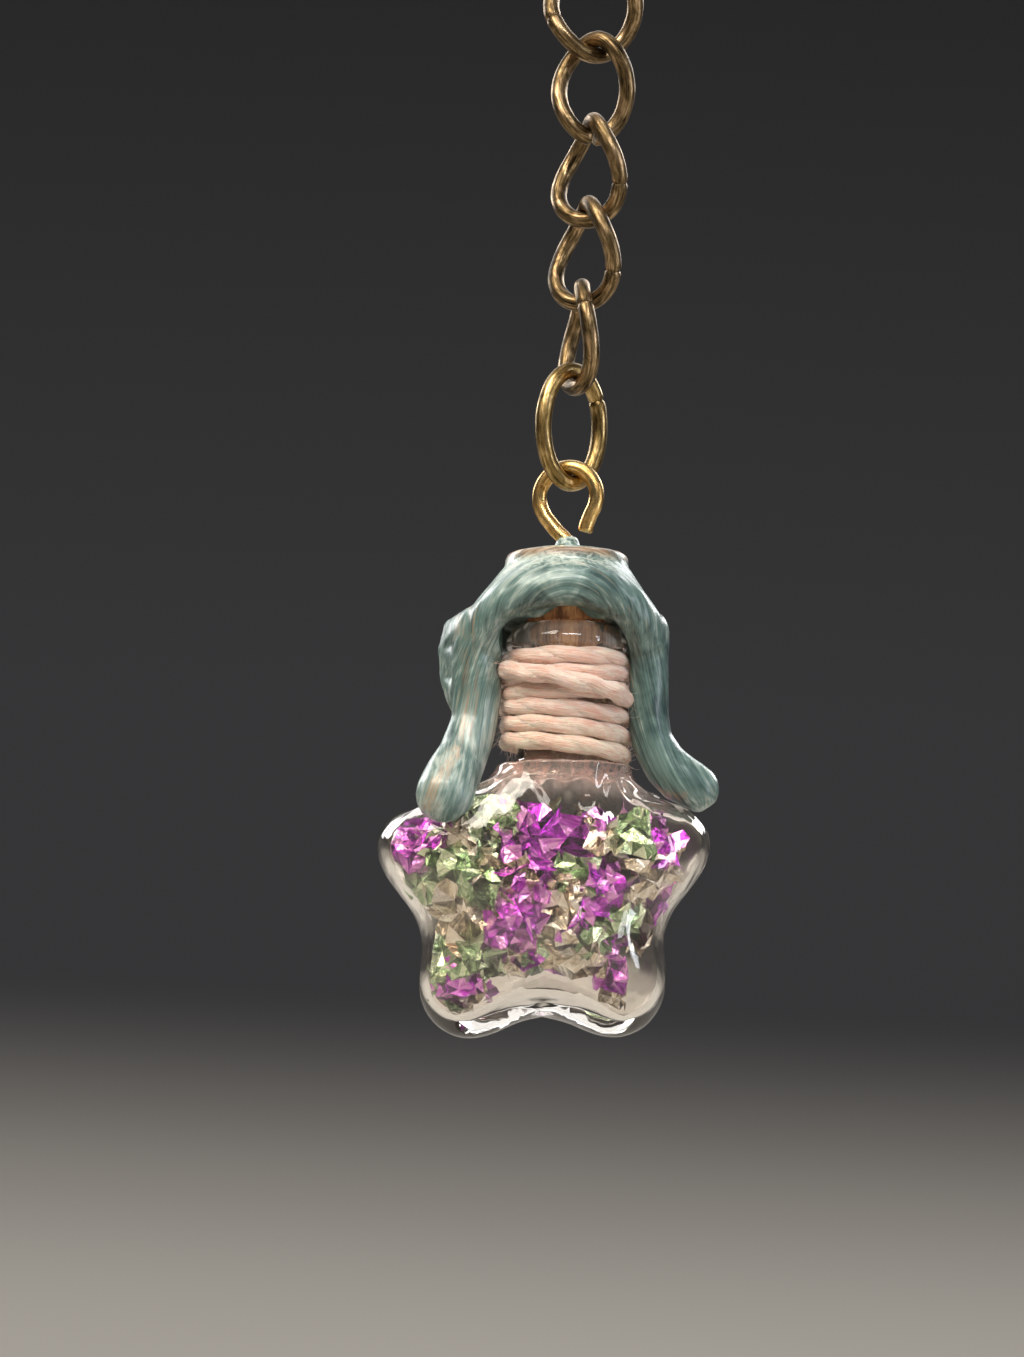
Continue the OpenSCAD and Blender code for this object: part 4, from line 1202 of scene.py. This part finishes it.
def melted_solid(node, name, grain_size, rounds):
    """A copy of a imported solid, welded, remeshed in even voxels and smoothed as if it had melted."""
    mesh = frame["nodes"][node].data.copy()
    bm = bmesh.new()
    bm.from_mesh(mesh)
    bmesh.ops.remove_doubles(bm, verts=bm.verts, dist=0.002 * MM)
    bm.to_mesh(mesh)
    bm.free()
    mesh.materials.clear()
    for old in list(mesh.attributes):
        if old.name.startswith("custom_normal"):
            mesh.attributes.remove(old)
    source = new_object(name + "_cold", mesh)
    voxels = source.modifiers.new("Voxels", "REMESH")
    voxels.mode = "VOXEL"
    voxels.voxel_size = grain_size
    voxels.use_smooth_shade = True
    soften = source.modifiers.new("Melt", "SMOOTH")
    soften.factor = 0.5
    soften.iterations = rounds
    return plain(source, name)


def spread_opening(wax, local):
    """Sets the opening's edges back at the lip, so that the lip's clear roll shows beside the cork."""
    # Most at 0.8 mm below the mouth and gone 4 mm off, and only on the front of the neck
    level = np.exp(-(((local[:, 2] + 0.8 * MM) / (1.9 * MM)) ** 2))
    ahead = np.clip((-local[:, 1] - 1.2 * MM) / (1.0 * MM), 0, 1)
    for side, spread in ((-1, wax.spread_left), (1, wax.spread_right)):
        # The edge moves most, and what lies 6.4 mm off the axis stays
        out = side * local[:, 0]
        share = np.clip(out / (2.0 * MM), 0, 1) * np.clip((6.4 * MM - out) / (3.2 * MM), 0, 1)
        local[:, 0] += side * spread * share * level * ahead


def wax_flow(wax, local):
    """The flow's own coordinates for points in the bottle's frame: across it, depth, and along it.

    The wax runs down each side of the opening and round over its arch, and each run strays sideways
    as its lower end does.
    """
    x, y, z = local.T
    left = x < 0
    bend = np.zeros(len(x))
    # How far a run has strayed: a cubic through its middle at 14 levels, less where it springs
    for side in (left, ~left):
        levels = np.linspace(z[side].min(), wax.spring, 14)
        middles = [np.abs(x[side & (np.abs(z - level) < 0.6 * MM)]).mean() for level in levels]
        curve = np.polyfit((levels - wax.spring) / MM, middles, 3)
        bend[side] = np.polyval(curve, (z[side] - wax.spring) / MM)
        bend[side] -= bend[side][np.abs(z[side] - wax.spring).argmin()]
    rise = np.maximum(z - wax.spring, 0)
    over = z > wax.spring
    across = np.hypot(x, rise) - np.where(over, 0, bend)
    # The way round the opening: up the right run, over the arch and down the left run
    turn = np.arctan2(rise, x) * wax.arch
    fall = np.where(left, wax.spring - z, z - wax.spring)
    return np.stack([across, y, turn + np.where(over, 0, fall)], axis=1)


def reed(place):
    """The height of the flow's ridges at a place of the flow: 0.8 mm reeds with finer ones of 0.32 mm."""
    across, depth, along = place / MM
    coarse = noise.noise(Vector((across / 0.8, depth / 1.6, along / 11)))
    return coarse + 0.4 * noise.noise(Vector((across / 0.32, depth / 0.6, along / 8)))


def wax_marks(stage, points, local):
    """Where the wax has cream streaks, its copper rim and its pale cap, each from 0 to 1."""
    seen = np.array([photo_place(stage, p) for p in points])
    cream = np.zeros(len(points))
    for path, width, strength in WAX_STREAKS:
        line = np.array([(p.x, p.y) for p in smooth_path([(a, b, 0) for a, b in path], 24)])
        nearest = np.sqrt(((seen[:, None, :] - line[None]) ** 2).sum(2)).min(1)
        cream = np.maximum(cream, strength * np.clip(1.5 - nearest / width, 0, 1))
    # The streaks lie on the front alone
    cream *= local[:, 1] < 0.5 * MM
    # The rim is the cap's top edge, 7.5 mm across and 4.55 mm above the mouth
    out = np.hypot(local[:, 0], local[:, 1])
    rim = np.clip(1.5 - np.hypot(out - 3.75 * MM, local[:, 2] - 4.55 * MM) / (0.5 * MM), 0, 1)
    pale = np.clip((local[:, 2] - 2.6 * MM) / (1.0 * MM), 0, 1)
    return np.stack([cream, rim, pale], axis=1)


class PENDANT_OT_wax(bpy.types.Operator):
    """Pours the wax over the cork, with its arch, its two runs and its fold"""

    bl_idname = "pendant.wax"
    bl_label = "Wax seal"

    def execute(self, context):
        wax = context.scene.pendant_wax
        piece = melted_solid("wax_seal", "poured_wax", wax.grain, wax.melt)
        mesh = piece.data
        points, normals = coordinates(mesh)
        from_bottle = np.array(hung(context.scene.pendant_bottle))
        to_bottle = np.linalg.inv(from_bottle)
        local = points @ to_bottle[:3, :3].T + to_bottle[:3, 3]
        spread_opening(wax, local)
        flow = wax_flow(wax, local)
        points = local @ from_bottle[:3, :3].T + from_bottle[:3, 3]
        points += normals * (np.array([reed(f) for f in flow]) * wax.ridge)[:, None]
        mesh.vertices.foreach_set("co", points.astype(np.float32).ravel())
        marks = wax_marks(context.scene.pendant_stage, points, local)
        for name, values in (("flow", flow), ("marks", marks)):
            attribute = mesh.attributes.new(name, "FLOAT_VECTOR", "POINT")
            attribute.data.foreach_set("vector", values.astype(np.float32).ravel())
        mesh.materials.clear()
        mesh.materials.append(new_material("pearl_sealing_wax", pearl_wax, wax))
        mesh.shade_smooth()
        dress(piece, BOTTLE_BODY, "teal_wax", "wax_seal")
        return {"FINISHED"}


def flake_points(name, flakes):
    """Points that carry what each flake is grown from."""
    mesh = bpy.data.meshes.new(name)
    mesh.from_pydata([f["at"] for f in flakes], [], [])
    for key, kind in FLAKE_DATA.items():
        attribute = mesh.attributes.new(key, kind, "POINT")
        field = "vector" if kind == "FLOAT_VECTOR" else "value"
        attribute.data.foreach_set(field, np.array([f[key] for f in flakes], np.float32).ravel())
    return new_object(name, mesh)


def hollow_of(bottle):
    """The star's inner wall as a tree that finds its nearest point or where a ray meets it."""
    rings, pole = star_rings(bottle, True)
    inner = polished(skin_mesh("inner_wall", rings, [pole, Vector((0, 0, -bottle.neck_l))]), "inner_wall")
    inner.data.transform(hung(bottle))
    bm = bmesh.new()
    bm.from_mesh(inner.data)
    hollow = BVHTree.FromBMesh(bm)
    bm.free()
    bpy.data.objects.remove(inner)
    return hollow


def front_flakes(foil, stage, hollow, rng):
    """The flakes that show from the front, each just behind the glass where the camera sees it."""
    flakes = []
    for name, places in FLAKES.items():
        for across, down, width in places:
            spot, normal, _, _ = hollow.ray_cast(*photo_ray(stage, across, down))
            if spot is None:
                continue
            size = width * stage.field / PHOTO_H
            face = Euler(rng.uniform(-foil.tilt, foil.tilt, 3)).to_matrix() @ -normal
            turn = face.to_track_quat("Z", "Y").to_euler()
            flakes.append({
                "foil": name, "at": spot - normal * size * foil.sunk, "size": size * foil.slack,
                "turn": tuple(turn), "seed": float(rng.uniform(0, 100)), "painted_lit": 1.0,
            })
    return flakes


def stuffing(bottle, foil, stage, hollow, rng):
    """The flakes behind, spread through the rest of the hollow but for its lower right, which is bare."""
    bottom = -bottle.neck_l - bottle.star_h
    rows = int((-foil.fill - bottom) / foil.stuffing)
    columns = int(bottle.star_w / foil.stuffing / 2) + 1
    layers = int(bottle.star_d / foil.stuffing / 2) + 1
    cells = product(range(rows + 1), range(-columns, columns + 1), range(-layers + 1, layers + 1))
    from_bottle = hung(bottle)
    flakes = []
    for row, column, layer in cells:
        # Every other row is set off by half a space, and each flake strays by up to 0.3 of one
        cell = Vector((column + 0.5 * (row % 2), layer, row + 0.5))
        place = (cell + Vector(rng.uniform(-0.3, 0.3, 3))) * foil.stuffing + Vector((0, 0, bottom))
        spot = from_bottle @ place
        near, normal, _, distance = hollow.find_nearest(spot)
        outside = (near - spot).dot(normal) <= 0 or place.z > -foil.fill
        # None lies closer to the glass than 0.5 mm, or than 1.6 mm where the front flakes are
        crowded = distance < (1.6 if layer < 0 else 0.5) * MM
        across, down = photo_place(stage, spot)
        bare = across > BARE_LOBE[0] and down > BARE_LOBE[1]
        if outside or crowded or bare:
            continue
        flakes.append({
            "foil": list(FOILS)[rng.choice(len(FOILS), p=FOIL_SHARES)], "at": spot,
            "size": float(rng.uniform(foil.small, foil.large)),
            "turn": tuple(rng.uniform(0, 2 * math.pi, 3)),
            "seed": float(rng.uniform(0, 100)),
            # Painted shade: full colour up to 1.6 mm from the glass, then painted darker over the next 2 mm
            "painted_lit": min(max(1.6 - distance / (2.6 * MM), 0.25), 1),
        })
    return flakes


def keep_inside(mesh, hollow, clearance):
    """Presses every corner that would reach the glass back inside it."""
    for vertex in mesh.vertices:
        near, normal, _, _ = hollow.find_nearest(vertex.co)
        if (near - vertex.co).dot(normal) < clearance:
            # Corners end up to 0.15 mm further in, so that the pressed faces stay crumpled
            vertex.co = near - normal * (clearance + 0.15 * MM * noise.cell(vertex.co / (0.3 * MM)))


class PENDANT_OT_foil(bpy.types.Operator):
    """Crumples the foil and packs it into the star"""

    bl_idname = "pendant.foil"
    bl_label = "Foil"

    def execute(self, context):
        bottle = context.scene.pendant_bottle
        foil = context.scene.pendant_foil
        stage = context.scene.pendant_stage
        hollow = hollow_of(bottle)
        rng = np.random.default_rng(7)
        flakes = front_flakes(foil, stage, hollow, rng) + stuffing(bottle, foil, stage, hollow, rng)
        tree = foil_tree()
        for name, tones in FOILS.items():
            node = "foil_" + name
            own = [f for f in flakes if f["foil"] == name]
            piece = grown(flake_points(node, own), node + "_sheets", tree, {
                "Corners": foil.corners, "Crumple": foil.crumple, "Crease": foil.crease,
                "Material": new_material("dyed_" + node, dyed_foil, *tones),
            })
            keep_inside(piece.data, hollow, foil.clearance)
            leaf = piece.modifiers.new("Leaf", "SOLIDIFY")
            leaf.thickness = foil.thickness
            leaf.offset = 0
            dress(plain(piece, node + "_flakes"), BOTTLE_BODY, name + "_foil", node)
        return {"FINISHED"}


def paper_sweep(stage):
    """A round floor that sweeps up into a wall all round, so that it shows no edge."""
    steps = 12
    rows = [(stage.radius * share, 0.0) for share in (0.04, 0.2, 0.4)]
    for k in range(steps + 1):
        a = math.pi / 2 * k / steps
        rows.append((stage.radius - stage.sweep * (1 - math.sin(a)), stage.sweep * (1 - math.cos(a))))
    rows.append((stage.radius, stage.top))
    sectors = 64
    rings = [round_ring(r, z - stage.drop, sectors) for r, z in rows]
    faces = [face[::-1] for face in bands(rings)] + [tuple(range(sectors))]
    mesh = bpy.data.meshes.new("paper_sweep")
    mesh.from_pydata([tuple(p) for ring in rings for p in ring], [], faces)
    mesh.shade_smooth()
    mesh.materials.append(new_material("background_paper", stage_paper, stage))
    new_object("paper_sweep", mesh)


def soft_boxes(stage):
    """A key from the upper left, a strip at the right, and the rest in front, above and behind."""
    for name, place, width, height, watts, tint in LAMPS:
        lamp = bpy.data.lights.new("softbox_" + name, "AREA")
        lamp.shape = "RECTANGLE"
        lamp.size = width
        lamp.size_y = height
        lamp.energy = watts
        lamp.color = linear(tint)[:3]
        obj = new_object("softbox_" + name, lamp)
        obj.location = Vector(stage.aim) + Vector(place)
        # The sweep's lamp lights the paper behind, and all the others the pendant
        way = Vector((0, 1, -1)) if name == "sweep" else -Vector(place)
        obj.rotation_euler = way.to_track_quat("-Z", "Y").to_euler()


class PENDANT_OT_stage(bpy.types.Operator):
    """Sets up the paper stage, the soft boxes and the camera"""

    bl_idname = "pendant.stage"
    bl_label = "Stage"

    def execute(self, context):
        stage = context.scene.pendant_stage
        paper_sweep(stage)
        soft_boxes(stage)
        world = bpy.data.worlds.new("studio_air")
        world.use_nodes = True
        air = world.node_tree.nodes["Background"].inputs
        air["Color"].default_value = stage.air
        air["Strength"].default_value = stage.glow
        context.scene.world = world
        camera = new_object("camera", bpy.data.cameras.new("camera"))
        camera.matrix_world = camera_matrix(stage)
        camera.data.lens = camera.data.sensor_width * stage.distance / stage.field
        camera.data.clip_start = 0.01
        context.scene.camera = camera
        context.scene.view_settings.view_transform = "Standard"
        return {"FINISHED"}


class PENDANT_PT_panel(bpy.types.Panel):
    """Lists the pieces of the pendant and their sizes"""

    bl_idname = "PENDANT_PT_panel"
    bl_label = "Star bottle pendant"
    bl_space_type = "VIEW_3D"
    bl_region_type = "UI"
    bl_category = "Pendant"

    def draw(self, context):
        for title, name, _, operators in PIECES:
            box = self.layout.box()
            box.label(text=title)
            settings = getattr(context.scene, name)
            for key in settings.bl_rna.properties.keys():
                if key not in ("rna_type", "name"):
                    box.prop(settings, key)
            for operator in operators:
                box.operator(operator.bl_idname)


# Each group of pieces: its title, its settings on the scene and their class, and its operators
PIECES = [
    ("Chain", "pendant_chain", ChainSizes, [PENDANT_OT_chain]),
    ("Screw eye", "pendant_eye", EyeSizes, [PENDANT_OT_screw_eye]),
    ("Bottle", "pendant_bottle", BottleSizes, [PENDANT_OT_cork, PENDANT_OT_bottle]),
    ("Thread", "pendant_thread", ThreadSizes, [PENDANT_OT_thread]),
    ("Wax", "pendant_wax", WaxSizes, [PENDANT_OT_wax]),
    ("Foil", "pendant_foil", FoilSizes, [PENDANT_OT_foil]),
    ("Stage", "pendant_stage", StageSettings, [PENDANT_OT_stage]),
]


def register():
    for _, name, settings, operators in PIECES:
        for kind in (settings, *operators):
            bpy.utils.register_class(kind)
        setattr(bpy.types.Scene, name, PointerProperty(type=settings))
    bpy.utils.register_class(PENDANT_PT_panel)


def unregister():
    bpy.utils.unregister_class(PENDANT_PT_panel)
    for _, name, settings, operators in reversed(PIECES):
        delattr(bpy.types.Scene, name)
        for kind in (*operators, settings):
            bpy.utils.unregister_class(kind)


def main():
    """Makes every piece and the stage."""
    register()
    for _, _, _, operators in PIECES:
        for operator in operators:
            area, action = operator.bl_idname.split(".")
            getattr(getattr(bpy.ops, area), action)()


if __name__ == "__main__":
    main()
